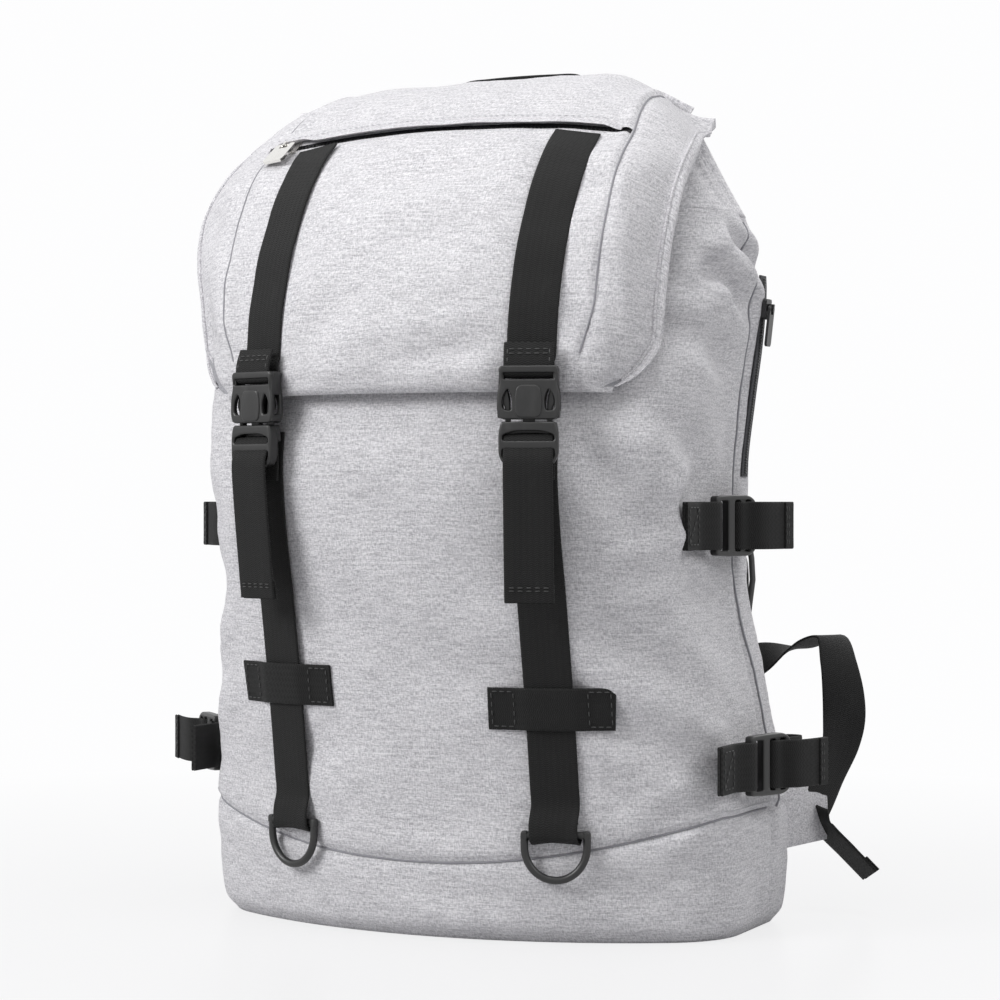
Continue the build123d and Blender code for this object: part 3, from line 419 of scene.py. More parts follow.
def moulded(
    name: str, outlines: Sequence[
        Sequence[tuple[float, float]]
    ], low: float, high: float, bevel: float, place: Matrix
) -> bpy.types.Object:
    """Moulded plate with holes and rounded edges.

    Args:
        name: the object's name.
        outlines: the outer outline, then its holes, in millimetres.
        low: its back face, in millimetres.
        high: its front face, in millimetres.
        bevel: radius of its edges, in millimetres.
        place: where its local frame lies.

    Returns:
        The new object.
    """
    curve = bpy.data.curves.new(name, "CURVE")
    curve.dimensions = "2D"
    curve.fill_mode = "BOTH"
    curve.extrude = ((high - low) / 2 - bevel) * MM
    curve.bevel_depth = bevel * MM
    curve.bevel_resolution = 3
    curve.offset = -bevel * MM
    for outline in outlines:
        line = curve.splines.new("POLY")
        line.points.add(len(outline) - 1)
        for spot, (x, y) in zip(line.points, outline):
            spot.co = (x * MM, y * MM, 0, 1)
        line.use_cyclic_u = True
    holder = bpy.data.objects.new(name + "_line", curve)
    bpy.context.scene.collection.objects.link(holder)
    graph = bpy.context.evaluated_depsgraph_get()
    graph.update()
    mesh = bpy.data.meshes.new_from_object(holder.evaluated_get(graph), depsgraph=graph)
    bpy.data.objects.remove(holder)
    mesh.transform(place @ Matrix.Translation((0, 0, (high + low) / 2 * MM)))
    obj = bpy.data.objects.new(name, mesh)
    bpy.context.scene.collection.objects.link(obj)
    bm = bmesh.new()
    bm.from_mesh(mesh)
    bmesh.ops.remove_doubles(bm, verts=bm.verts, dist=0.01 * MM)
    bmesh.ops.recalc_face_normals(bm, faces=bm.faces)
    bm.to_mesh(mesh)
    bm.free()
    smooth_shading(obj, 35)
    return obj


def bar(name: str, points: Sequence[Point], radius: float, place: Matrix) -> bpy.types.Object:
    """Round bar along points, in millimetres, in a local frame."""
    curve = bpy.data.curves.new(name, "CURVE")
    curve.dimensions = "3D"
    curve.bevel_depth = radius * MM
    curve.bevel_resolution = 5
    curve.use_fill_caps = True
    line = curve.splines.new("POLY")
    line.points.add(len(points) - 1)
    for spot, point in zip(line.points, points):
        spot.co = (*(c * MM for c in point), 1)
    holder = bpy.data.objects.new(name + "_line", curve)
    bpy.context.scene.collection.objects.link(holder)
    graph = bpy.context.evaluated_depsgraph_get()
    graph.update()
    mesh = bpy.data.meshes.new_from_object(holder.evaluated_get(graph), depsgraph=graph)
    bpy.data.objects.remove(holder)
    mesh.transform(place)
    obj = bpy.data.objects.new(name, mesh)
    bpy.context.scene.collection.objects.link(obj)
    smooth_shading(obj, 50)
    return obj


def frame_matrix(origin: Point, x_dir: Point, z_dir: Point) -> Matrix:
    """Local frame from its origin, its X direction and its Z direction."""
    x = Vector(x_dir).normalized()
    z = Vector(z_dir).normalized()
    y = z.cross(x)
    matrix = Matrix((x, y, z)).transposed().to_4x4()
    matrix.translation = Vector(origin)
    return matrix


def inflate(obj: bpy.types.Object, voxel: float, cap: float) -> None:
    """Puffs a closed shape up as filled cloth.

    Args:
        obj: a closed mesh, a little smaller than wanted.
        voxel: size of its new faces.
        cap: the furthest that a point may move.
    """
    remesh = obj.modifiers.new("voxels", "REMESH")
    remesh.mode = "VOXEL"
    remesh.voxel_size = voxel
    apply_modifiers(obj)
    start = [v.co.copy() for v in obj.data.vertices]
    cloth = obj.modifiers.new("cloth", "CLOTH")
    cloth.settings.use_pressure = True
    cloth.settings.uniform_pressure_force = 4.0
    cloth.settings.effector_weights.gravity = 0.0
    cloth.settings.tension_stiffness = 20
    cloth.point_cache.frame_start = 1
    cloth.point_cache.frame_end = 20
    for number in range(1, 21):
        bpy.context.scene.frame_set(number)
    apply_modifiers(obj)
    bpy.context.scene.frame_set(1)
    for vertex, before in zip(obj.data.vertices, start):
        move = vertex.co - before
        if move.length > cap:
            vertex.co = before + move.normalized() * cap
    divide = obj.modifiers.new("smooth", "SUBSURF")
    divide.levels = 1
    divide.render_levels = 1
    apply_modifiers(obj)
    smooth_shading(obj, 80)


# ------------------------------------------------------------------ finishes
class NodeSet:
    """Short hand for building a node tree."""

    def __init__(self, tree: bpy.types.NodeTree) -> None:
        """Keeps the tree that nodes are added to."""
        self.tree = tree

    def add(self, kind: str, **values: object) -> bpy.types.Node:
        """Adds a node and sets its properties."""
        node = self.tree.nodes.new(kind)
        for key, value in values.items():
            setattr(node, key, value)
        return node

    def link(self, source: bpy.types.NodeSocket, target: bpy.types.NodeSocket) -> None:
        """Links two sockets."""
        self.tree.links.new(source, target)

    def feed(self, node: bpy.types.Node, socket: int | str, value: object) -> None:
        """Links a socket to a socket, or sets its constant."""
        target = node.inputs[socket]
        if isinstance(value, bpy.types.NodeSocket):
            self.link(value, target)
        else:
            target.default_value = value

    def math(self, operation: str, *values: object, clamp: bool = False) -> bpy.types.NodeSocket:
        """Adds a Math node and returns its output."""
        node = self.add("ShaderNodeMath", operation=operation, use_clamp=clamp)
        for i, value in enumerate(values):
            self.feed(node, i, value)
        return node.outputs[0]

    def mix(self, factor: object, first: object, second: object) -> bpy.types.NodeSocket:
        """Mixes two colours and returns the result."""
        node = self.add("ShaderNodeMix", data_type="RGBA")
        for index, value in ((0, factor), (6, first), (7, second)):
            self.feed(node, index, value)
        return node.outputs[2]

    def noise(
        self, vector: bpy.types.NodeSocket, scale: Point, size: float, detail: float
    ) -> bpy.types.NodeSocket:
        """Adds noise on a stretched vector and returns its value."""
        mapping = self.add("ShaderNodeMapping")
        self.feed(mapping, "Vector", vector)
        mapping.inputs["Scale"].default_value = scale
        node = self.add("ShaderNodeTexNoise")
        self.link(mapping.outputs[0], node.inputs["Vector"])
        node.inputs["Scale"].default_value = size
        node.inputs["Detail"].default_value = detail
        return node.outputs[0]

    def spread(self, value: bpy.types.NodeSocket, low: float, high: float) -> bpy.types.NodeSocket:
        """Stretches the range low to high over 0 to 1."""
        node = self.add("ShaderNodeMapRange")
        self.link(value, node.inputs[0])
        node.inputs[1].default_value = low
        node.inputs[2].default_value = high
        return node.outputs[0]

    def split(self, vector: bpy.types.NodeSocket) -> tuple[bpy.types.NodeSocket, bpy.types.NodeSocket]:
        """The X and Y of a vector."""
        node = self.add("ShaderNodeSeparateXYZ")
        self.link(vector, node.inputs[0])
        return node.outputs[0], node.outputs[1]


def make_group(
    name: str, inputs: Sequence[tuple[str, str, float]], outputs: Sequence[str]
) -> tuple[NodeSet, dict, bpy.types.Node]:
    """Starts a shader node group.

    Args:
        name: the group's name.
        inputs: (name, socket type, default) of each input.
        outputs: names of its value outputs.

    Returns:
        The node set, its input sockets by name, and its output node.
    """
    group = bpy.data.node_groups.new(name, "ShaderNodeTree")
    for label, kind, default in inputs:
        socket = group.interface.new_socket(name=label, in_out="INPUT", socket_type=kind)
        if kind == "NodeSocketFloat":
            socket.default_value = default
    for label in outputs:
        group.interface.new_socket(name=label, in_out="OUTPUT", socket_type="NodeSocketFloat")
    nodes = NodeSet(group)
    entry = nodes.add("NodeGroupInput")
    end = nodes.add("NodeGroupOutput")
    return nodes, {s.name: s for s in entry.outputs}, end


def heather_group() -> bpy.types.NodeTree:
    """Melange plain weave: pale and dark threads along both ways, with slubs."""
    nodes, pins, end = make_group(
        "heather_weave", [
            ("Vector", "NodeSocketVector", 0.0), ("Pitch", "NodeSocketFloat", 0.0009)
        ], ["Fleck", "Height", "Patch"]
    )
    u, v = nodes.split(pins["Vector"])
    weft = nodes.noise(pins["Vector"], (0.3, 1.0, 1.0), 1500.0, 2.0)
    warp = nodes.noise(pins["Vector"], (1.0, 0.3, 1.0), 1400.0, 2.0)
    slub = nodes.noise(pins["Vector"], (0.1, 1.0, 1.0), 760.0, 1.0)
    patch = nodes.noise(pins["Vector"], (1.0, 1.6, 1.0), 26.0, 3.0)
    threads = nodes.math("ADD", nodes.math("MULTIPLY", weft, 0.42), nodes.math("MULTIPLY", warp, 0.36))
    threads = nodes.math("ADD", threads, nodes.math("MULTIPLY", slub, 0.22))
    fleck = nodes.spread(threads, 0.38, 0.6)
    turn = nodes.math("DIVIDE", math.tau, pins["Pitch"])
    over = nodes.math("SINE", nodes.math("MULTIPLY", u, turn))
    under = nodes.math("SINE", nodes.math("MULTIPLY", v, turn))
    weave = nodes.math("MULTIPLY", over, under)
    height = nodes.math(
        "ADD",
        nodes.math("MULTIPLY", weave, 0.25),
        nodes.math("ADD", fleck, nodes.math("MULTIPLY", slub, 0.6))
    )
    nodes.link(fleck, end.inputs["Fleck"])
    nodes.link(height, end.inputs["Height"])
    nodes.link(patch, end.inputs["Patch"])
    return nodes.tree


def webbing_group() -> bpy.types.NodeTree:
    """Ribbed webbing: chevron ribs across and fine lines along."""
    nodes, pins, end = make_group(
        "webbing_ribs",
        [
            ("Vector", "NodeSocketVector", 0.0),
            ("Rib", "NodeSocketFloat", 0.0011),
            ("Line", "NodeSocketFloat", 0.0016)
        ],
        ["Rib", "Fuzz", "Wear"],
    )
    u, v = nodes.split(pins["Vector"])
    zigzag = nodes.math("PINGPONG", u, nodes.math("MULTIPLY", pins["Line"], 0.5))
    shifted = nodes.math("ADD", v, nodes.math("MULTIPLY", zigzag, 0.5))
    ribs = nodes.math("SINE", nodes.math("MULTIPLY", shifted, nodes.math("DIVIDE", math.tau, pins["Rib"])))
    lines = nodes.math("SINE", nodes.math("MULTIPLY", u, nodes.math("DIVIDE", math.tau, pins["Line"])))
    rib = nodes.math("ADD", nodes.math("MULTIPLY", ribs, 0.42), nodes.math("MULTIPLY", lines, 0.05))
    fuzz = nodes.noise(pins["Vector"], (1.0, 1.0, 1.0), 2600.0, 2.0)
    wear = nodes.noise(pins["Vector"], (1.0, 0.4, 1.0), 70.0, 3.0)
    nodes.link(nodes.math("ADD", rib, 0.5), end.inputs["Rib"])
    nodes.link(fuzz, end.inputs["Fuzz"])
    nodes.link(wear, end.inputs["Wear"])
    return nodes.tree


def grain_group() -> bpy.types.NodeTree:
    """Fine moulded grain with faint scuffs."""
    nodes, pins, end = make_group("moulded_grain", [("Vector", "NodeSocketVector", 0.0)], ["Grain", "Scuff"])
    grain = nodes.noise(pins["Vector"], (1.0, 1.0, 1.0), 2200.0, 3.0)
    scuff = nodes.noise(pins["Vector"], (1.0, 1.0, 0.3), 180.0, 5.0)
    nodes.link(grain, end.inputs["Grain"])
    nodes.link(nodes.spread(scuff, 0.55, 0.8), end.inputs["Scuff"])
    return nodes.tree


GROUPS = {"heather": heather_group(), "webbing": webbing_group(), "grain": grain_group()}


@dataclass(frozen=True)
class Finish:
    """A surface finish: what its material is called and how rough it is."""

    name: str
    colour: Point
    roughness: float = 0.8

    def start(self) -> tuple[bpy.types.Material, NodeSet, bpy.types.Node]:
        """Makes the material with its Principled shader."""
        material = bpy.data.materials.new(self.name)
        material.use_nodes = True
        nodes = NodeSet(material.node_tree)
        shader = material.node_tree.nodes["Principled BSDF"]
        shader.inputs["Roughness"].default_value = self.roughness
        shader.inputs["Base Color"].default_value = (*self.colour, 1)
        return material, nodes, shader

    def bump(
        self,
        nodes: NodeSet,
        shader: bpy.types.Node,
        height: bpy.types.NodeSocket,
        depth: float,
        strength: float
    ) -> None:
        """Feeds a height to the shader's normal."""
        node = nodes.add("ShaderNodeBump")
        node.inputs["Strength"].default_value = strength
        node.inputs["Distance"].default_value = depth
        nodes.link(height, node.inputs["Height"])
        nodes.link(node.outputs[0], shader.inputs["Normal"])

    def build(self) -> bpy.types.Material:
        """Makes the plain material."""
        return self.start()[0]


@dataclass(frozen=True)
class Heather(Finish):
    """Melange plain-weave cloth."""

    dark: Point = (0.3, 0.3, 0.32)
    pitch: float = 0.9 * MM
    by_uv: bool = True

    def build(self) -> bpy.types.Material:
        """Makes the cloth, with its threads, slubs and faint clouding."""
        material, nodes, shader = self.start()
        group = nodes.add("ShaderNodeGroup", node_tree=GROUPS["heather"])
        source = nodes.add("ShaderNodeTexCoord").outputs["UV" if self.by_uv else "Object"]
        nodes.link(source, group.inputs["Vector"])
        group.inputs["Pitch"].default_value = self.pitch
        threads = nodes.mix(group.outputs["Fleck"], (*self.dark, 1), (*self.colour, 1))
        cloud = nodes.spread(group.outputs["Patch"], 0.3, 0.7)
        tint = tuple(c * 0.95 for c in self.colour)
        colour = nodes.mix(nodes.math("MULTIPLY", cloud, 0.14), threads, (*tint, 1))
        nodes.link(colour, shader.inputs["Base Color"])
        rough = nodes.math("ADD", self.roughness - 0.06, nodes.math("MULTIPLY", group.outputs["Fleck"], 0.1))
        nodes.link(rough, shader.inputs["Roughness"])
        shader.inputs["Sheen Weight"].default_value = 0.1
        shader.inputs["Sheen Roughness"].default_value = 0.5
        shader.inputs["Specular IOR Level"].default_value = 0.25
        self.bump(nodes, shader, group.outputs["Height"], 0.25 * MM, 0.55)
        return material


@dataclass(frozen=True)
class Webbing(Finish):
    """Black ribbed webbing."""

    light: Point = (0.05, 0.05, 0.05)
    rib: float = 1.1 * MM
    line: float = 3.1 * MM

    def build(self) -> bpy.types.Material:
        """Makes the webbing, with ribs, fuzz and wear."""
        material, nodes, shader = self.start()
        group = nodes.add("ShaderNodeGroup", node_tree=GROUPS["webbing"])
        nodes.link(nodes.add("ShaderNodeTexCoord").outputs["UV"], group.inputs["Vector"])
        group.inputs["Rib"].default_value = self.rib
        group.inputs["Line"].default_value = self.line
        lit = nodes.math("MULTIPLY", group.outputs["Rib"], group.outputs["Fuzz"], clamp=True)
        colour = nodes.mix(lit, (*self.colour, 1), (*self.light, 1))
        worn = nodes.math("MULTIPLY", nodes.spread(group.outputs["Wear"], 0.55, 0.8), 0.3)
        colour = nodes.mix(worn, colour, (*(c * 1.5 for c in self.light), 1))
        nodes.link(colour, shader.inputs["Base Color"])
        nodes.link(
            nodes.math("ADD", self.roughness - 0.1, nodes.math("MULTIPLY", group.outputs["Fuzz"], 0.2)),
            shader.inputs["Roughness"]
        )
        shader.inputs["Sheen Weight"].default_value = 0.04
        shader.inputs["Specular IOR Level"].default_value = 0.22
        height = nodes.math("ADD", group.outputs["Rib"], nodes.math("MULTIPLY", group.outputs["Fuzz"], 0.4))
        self.bump(nodes, shader, height, 0.3 * MM, 0.7)
        return material


@dataclass(frozen=True)
class Moulded(Finish):
    """Moulded plastic or plated metal, with fine grain and scuffs."""

    metallic: float = 0.0
    scuffed: Point = (0.07, 0.07, 0.07)
    grain: float = 0.35

    def build(self) -> bpy.types.Material:
        """Makes the material, with grain in its normal and scuffs in its roughness."""
        material, nodes, shader = self.start()
        group = nodes.add("ShaderNodeGroup", node_tree=GROUPS["grain"])
        nodes.link(nodes.add("ShaderNodeTexCoord").outputs["Object"], group.inputs["Vector"])
        worn = nodes.math("MULTIPLY", group.outputs["Scuff"], 0.35)
        nodes.link(nodes.mix(worn, (*self.colour, 1), (*self.scuffed, 1)), shader.inputs["Base Color"])
        rough = nodes.math("ADD", self.roughness, nodes.math("MULTIPLY", group.outputs["Scuff"], 0.15))
        nodes.link(rough, shader.inputs["Roughness"])
        shader.inputs["Metallic"].default_value = self.metallic
        self.bump(nodes, shader, group.outputs["Grain"], 0.05 * MM, self.grain)
        return material


@dataclass(frozen=True)
class AirMesh(Finish):
    """Spacer mesh with round holes."""

    hole: Point = (0.004, 0.004, 0.004)
    size: float = 330.0

    def build(self) -> bpy.types.Material:
        """Makes the mesh from a cell pattern in colour and normal."""
        material, nodes, shader = self.start()
        cells = nodes.add("ShaderNodeTexVoronoi")
        nodes.link(nodes.add("ShaderNodeTexCoord").outputs["Object"], cells.inputs["Vector"])
        cells.inputs["Scale"].default_value = self.size
        cells.inputs["Randomness"].default_value = 0.25
        mask = nodes.spread(cells.outputs["Distance"], 0.2, 0.5)
        nodes.link(nodes.mix(mask, (*self.hole, 1), (*self.colour, 1)), shader.inputs["Base Color"])
        self.bump(nodes, shader, mask, 0.5 * MM, 0.8)
        return material


CLOTH = Heather("heather_cloth", (0.78, 0.77, 0.79), 0.85, dark=(0.36, 0.355, 0.38)).build()
PAD_CLOTH = Heather("heather_pad", (0.74, 0.73, 0.75), 0.85, dark=(0.34, 0.335, 0.36), by_uv=False).build()
LINING = Heather(
    "lining", (0.36, 0.36, 0.38), 0.7, dark=(0.24, 0.24, 0.26), pitch=0.6 * MM, by_uv=False
).build()
WEB = Webbing("webbing", (0.004, 0.004, 0.004), 0.75, light=(0.022, 0.022, 0.022)).build()
ZIP_CLOTH = Webbing(
    "zip_cloth", (0.03, 0.03, 0.034), 0.75, light=(0.09, 0.09, 0.1), rib=0.8 * MM, line=0.9 * MM
).build()
PLASTIC = Moulded("black_plastic", (0.012, 0.012, 0.012), 0.38, scuffed=(0.04, 0.04, 0.04)).build()
BRIGHT = Moulded(
    "bright_metal", (0.82, 0.81, 0.78), 0.2, metallic=1.0, scuffed=(0.6, 0.6, 0.58), grain=0.1
).build()
DARK_METAL = Moulded("dark_metal", (0.06, 0.06, 0.06), 0.35, metallic=0.8, grain=0.15).build()
BOARD = Moulded("board", (0.09, 0.09, 0.09), 0.6).build()
MESH = AirMesh("air_mesh", (0.03, 0.03, 0.032), 0.85).build()
SEAM = Moulded("seam_cloth", (0.26, 0.26, 0.28), 0.8, scuffed=(0.3, 0.3, 0.32)).build()
THREAD = Moulded("grey_thread", (0.5, 0.5, 0.52), 0.7, scuffed=(0.4, 0.4, 0.4)).build()
BLACK_THREAD = Moulded("black_thread", (0.035, 0.035, 0.035), 0.55, scuffed=(0.06, 0.06, 0.06)).build()


def dress(
    obj: bpy.types.Object,
    body: str,
    slot: str,
    *materials: bpy.types.Material,
    stands_for: Sequence[str] = ()
) -> None:
    """Gives a piece its materials, its body and the nodes it stands for.

    Args:
        obj: the piece.
        body: the body it moves with; an empty name leaves it free, for a piece that runs between two.
        slot: not used.
        materials: its materials, where they aren't set yet.
        stands_for: the nodes it is shown instead of.
    """
    if materials:
        obj.data.materials.clear()
        for material in materials:
            obj.data.materials.append(material)
    if body:
        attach(obj, body)
    if stands_for:
        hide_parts(*stands_for)
    log.info("%s on %s, %d faces", obj.name, body or "two bodies", len(obj.data.polygons))


def repaint(node: str, material: bpy.types.Material, bevel: float = 0.0) -> None:
    """Gives a CAD node a finish and softens its edges."""
    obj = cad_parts[node]
    obj.data.materials.clear()
    obj.data.materials.append(material)
    if bevel:
        round_edges = obj.modifiers.new("edges", "BEVEL")
        round_edges.width = bevel
        round_edges.segments = 2
        round_edges.limit_method = "ANGLE"
    log.info("%s refinished", node)


# ------------------------------------------------------------------ the pack's form
@dataclass
class PackForm:
    """The filled pack's outer form, which every sewn piece follows, in millimetres."""

    rim: float = 380.0
    front_radius: float = 250.0
    corner: float = 45.0
    back_corner: float = 14.0
    hinge_y: float = 48.0
    hinge_z: float = 450.0
    lid_bottom: float = 281.0
    strap_x: float = 76.0
    seam_middle: float = 40.0
    seam_side: float = 64.0
    rear_seam: float = 40.0
    stations: list[tuple[float, float, float, float]] = field(
        default_factory=lambda: [
            (0.0, 147, 63, 72), (8, 152, 70, 77), (42, 154, 74, 78), (87, 151, 80, 77), (129, 143.5, 86, 76),
            (175, 133, 95, 75), (213, 133, 103, 74), (249, 134, 106, 72),
            (281, 138, 99, 69), (319, 143, 80, 66),
            (350, 144, 68, 63), (380, 137, 50, 58),
        ]
    )
    lid_points: list[tuple[float, float, float]] = field(
        default_factory=lambda: [
            (48, 457.6, 5), (25, 455.1, 12), (-5, 444.1, 17), (-36, 423.8, 19), (-64, 402, 20),
            (-86, 373, 21), (-100, 345, 22), (-108, 315, 20), (-111, 285, 9),
        ]
    )

    @property
    def lean(self) -> float:
        """How far the front has turned away at a strap, in radians."""
        return math.asin(self.strap_x / self.front_radius)

    def sag(self, x: float) -> float:
        """How far the bowed front falls back at an X."""
        return self.front_radius - math.sqrt(self.front_radius**2 - x**2)

    def at(self, z: float) -> tuple[float, float, float]:
        """Half width, front Y and back Y at a height."""
        half, front, back = spline_at(self.stations, min(max(z, 0.0), self.rim))
        return half, -front, back

    def front_y(self, x: float, z: float) -> float:
        """Y of the front's outer face."""
        return self.at(z)[1] + self.sag(x)

    def seam_z(self, x: float) -> float:
        """Height of the base seam at an X."""
        return lerp(self.seam_middle, self.seam_side, min((x / 150) ** 2, 1.0))

    def section(self, z: float, share: float) -> tuple[Vector, Vector]:
        """A place on the body's outline and its way out.

        Args:
            z: the height.
            share: place round the outline, from the middle of the back, anticlockwise from above.

        Returns:
            The point and the unit normal.
        """
        half, front, back = self.at(z)
        radius, corner, rear = self.front_radius, self.corner, self.back_corner
        arc_y = front + radius
        cx = half - corner
        cy = arc_y - math.sqrt((radius - corner) ** 2 - cx**2)
        lean = math.atan2(cx, arc_y - cy)
        back_run = half - rear
        side_run = back - rear - cy
        pieces = [back_run, rear * math.pi / 2, side_run, corner * (math.pi / 2 - lean), radius * lean]
        weights = [0.17, 0.03, 0.085, 0.065, 0.15]
        sign = 1.0
        if share > 0.5:
            share, sign = 1.0 - share, -1.0
        for run, weight, kind in zip(pieces, weights, range(5)):
            if share <= weight or kind == 4:
                t = min(share / weight, 1.0)
                break
            share -= weight
        if kind == 0:
            p, n = (-t * back_run, back), (0, 1)
        elif kind == 1:
            a = math.pi / 2 * (1 + t)
            p, n = (
                -back_run + rear * math.cos(a), back - rear + rear * math.sin(a)
            ), (math.cos(a), math.sin(a))
        elif kind == 2:
            p, n = (-half, back - rear - t * side_run), (-1, 0)
        elif kind == 3:
            a = math.pi + t * (math.pi / 2 - lean)
            p, n = (-cx + corner * math.cos(a), cy + corner * math.sin(a)), (math.cos(a), math.sin(a))
        else:
            a = math.pi * 1.5 - lean * (1 - t)
            p, n = (radius * math.cos(a), arc_y + radius * math.sin(a)), (math.cos(a), math.sin(a))
        return Vector((sign * p[0], p[1], z)), Vector((sign * n[0], n[1], 0))

    def lid(self, x: float, along: float, depth: float = 0.0) -> Vector:
        """A place on the lid.

        Args:
            x: across the pack.
            along: 0 at the hinge seam to 8 at the front edge.
            depth: share of the pocket's thickness below the outer face.

        Returns:
            The point, in millimetres.
        """
        rows = [(i, *p) for i, p in enumerate(self.lid_points)]
        y, z, thick = spline_at(rows, along)
        ahead = spline_at(rows, min(along + 0.2, 8.0))
        behind = spline_at(rows, max(along - 0.2, 0.0))
        way = Vector((ahead[0] - behind[0], ahead[1] - behind[1])).normalized()
        y, z = y - way.y * thick * depth, z + way.x * thick * depth
        span = self.hinge_y - self.lid_points[-1][0]
        share = (self.hinge_y - y) / span
        drop = 20.0 * (x / 130) ** 2 * min(max(share, 0), 1) * (z - self.lid_bottom) / 169.0
        corner = 24.0 if x > 0 else 6.0
        drop += corner * ease((abs(x) - 60) / 70) * (1 - ease(along / 3.4))
        if x > 0:
            x -= 10.0 * ease((x - 70) / 60) * (1 - ease((along - 0.6) / 2.4))
        if x < 0:
            x -= 17.0 * bell(z - drop - 388, 52) * ease((-x - 84) / 46)
        return Vector((x, y + self.sag(min(abs(x), 130)) * share**2, z - drop))

    def lid_normal(self, x: float, along: float) -> Vector:
        """The way out of the lid's outer face."""
        a = self.lid(x, min(along + 0.15, 8.0)) - self.lid(x, max(along - 0.15, 0.0))
        b = self.lid(x + 2, along) - self.lid(x - 2, along)
        normal = b.cross(a)
        if normal.y > 0 and along > 2:
            return -normal.normalized()
        return self._up(normal.normalized())

    @staticmethod
    def _up(normal: Vector) -> Vector:
        """The normal, turned to point up or to the front."""
        return normal if normal.z - normal.y > 0 else -normal

    def buckle_frame(self, side: Side) -> Matrix:
        """Frame at a buckle: X across, Y up, Z out of the pack, from the joint of its two halves."""
        s = side.value
        out = (s * math.sin(self.lean), -math.cos(self.lean), 0)
        across = (math.cos(self.lean), s * math.sin(self.lean), 0)
        return frame_matrix((s * self.strap_x * MM, -100.168 * MM, 267.0 * MM), across, out)

    def across(self, side: Side) -> Point:
        """The direction across a front strap."""
        return (math.cos(self.lean), side.value * math.sin(self.lean), 0.0)

    def side_x(self, z: float, reach: float) -> float:
        """Outermost X of the side over a height."""
        return max(self.at(z - reach)[0], self.at(z)[0], self.at(z + reach)[0])


FORM = PackForm()


@dataclass
class Crease:
    """A soft fold pressed into cloth along a line, in millimetres."""

    start: Point
    end: Point
    depth: float
    width: float

    def push(self, place: Vector) -> float:
        """How far the cloth moves out at a place: a valley with a low ridge beside it."""
        a, b = Vector(self.start), Vector(self.end)
        line = b - a
        t = min(max((place - a).dot(line) / line.length_squared, 0.0), 1.0)
        away = (place - (a + line * t)).length
        fade = math.sin(math.pi * min(max(0.08 + 0.84 * t, 0.0), 1.0))
        return fade * self.depth * (
            -bell(away, self.width) + 0.55 * bell(away - 1.9 * self.width, self.width)
        )


def soft(place: Vector, scale: float, seed: float) -> float:
    """Gentle unevenness of filled cloth, about -1 to 1."""
    return noise.noise(place / scale + Vector((seed, seed * 0.7, -seed)))


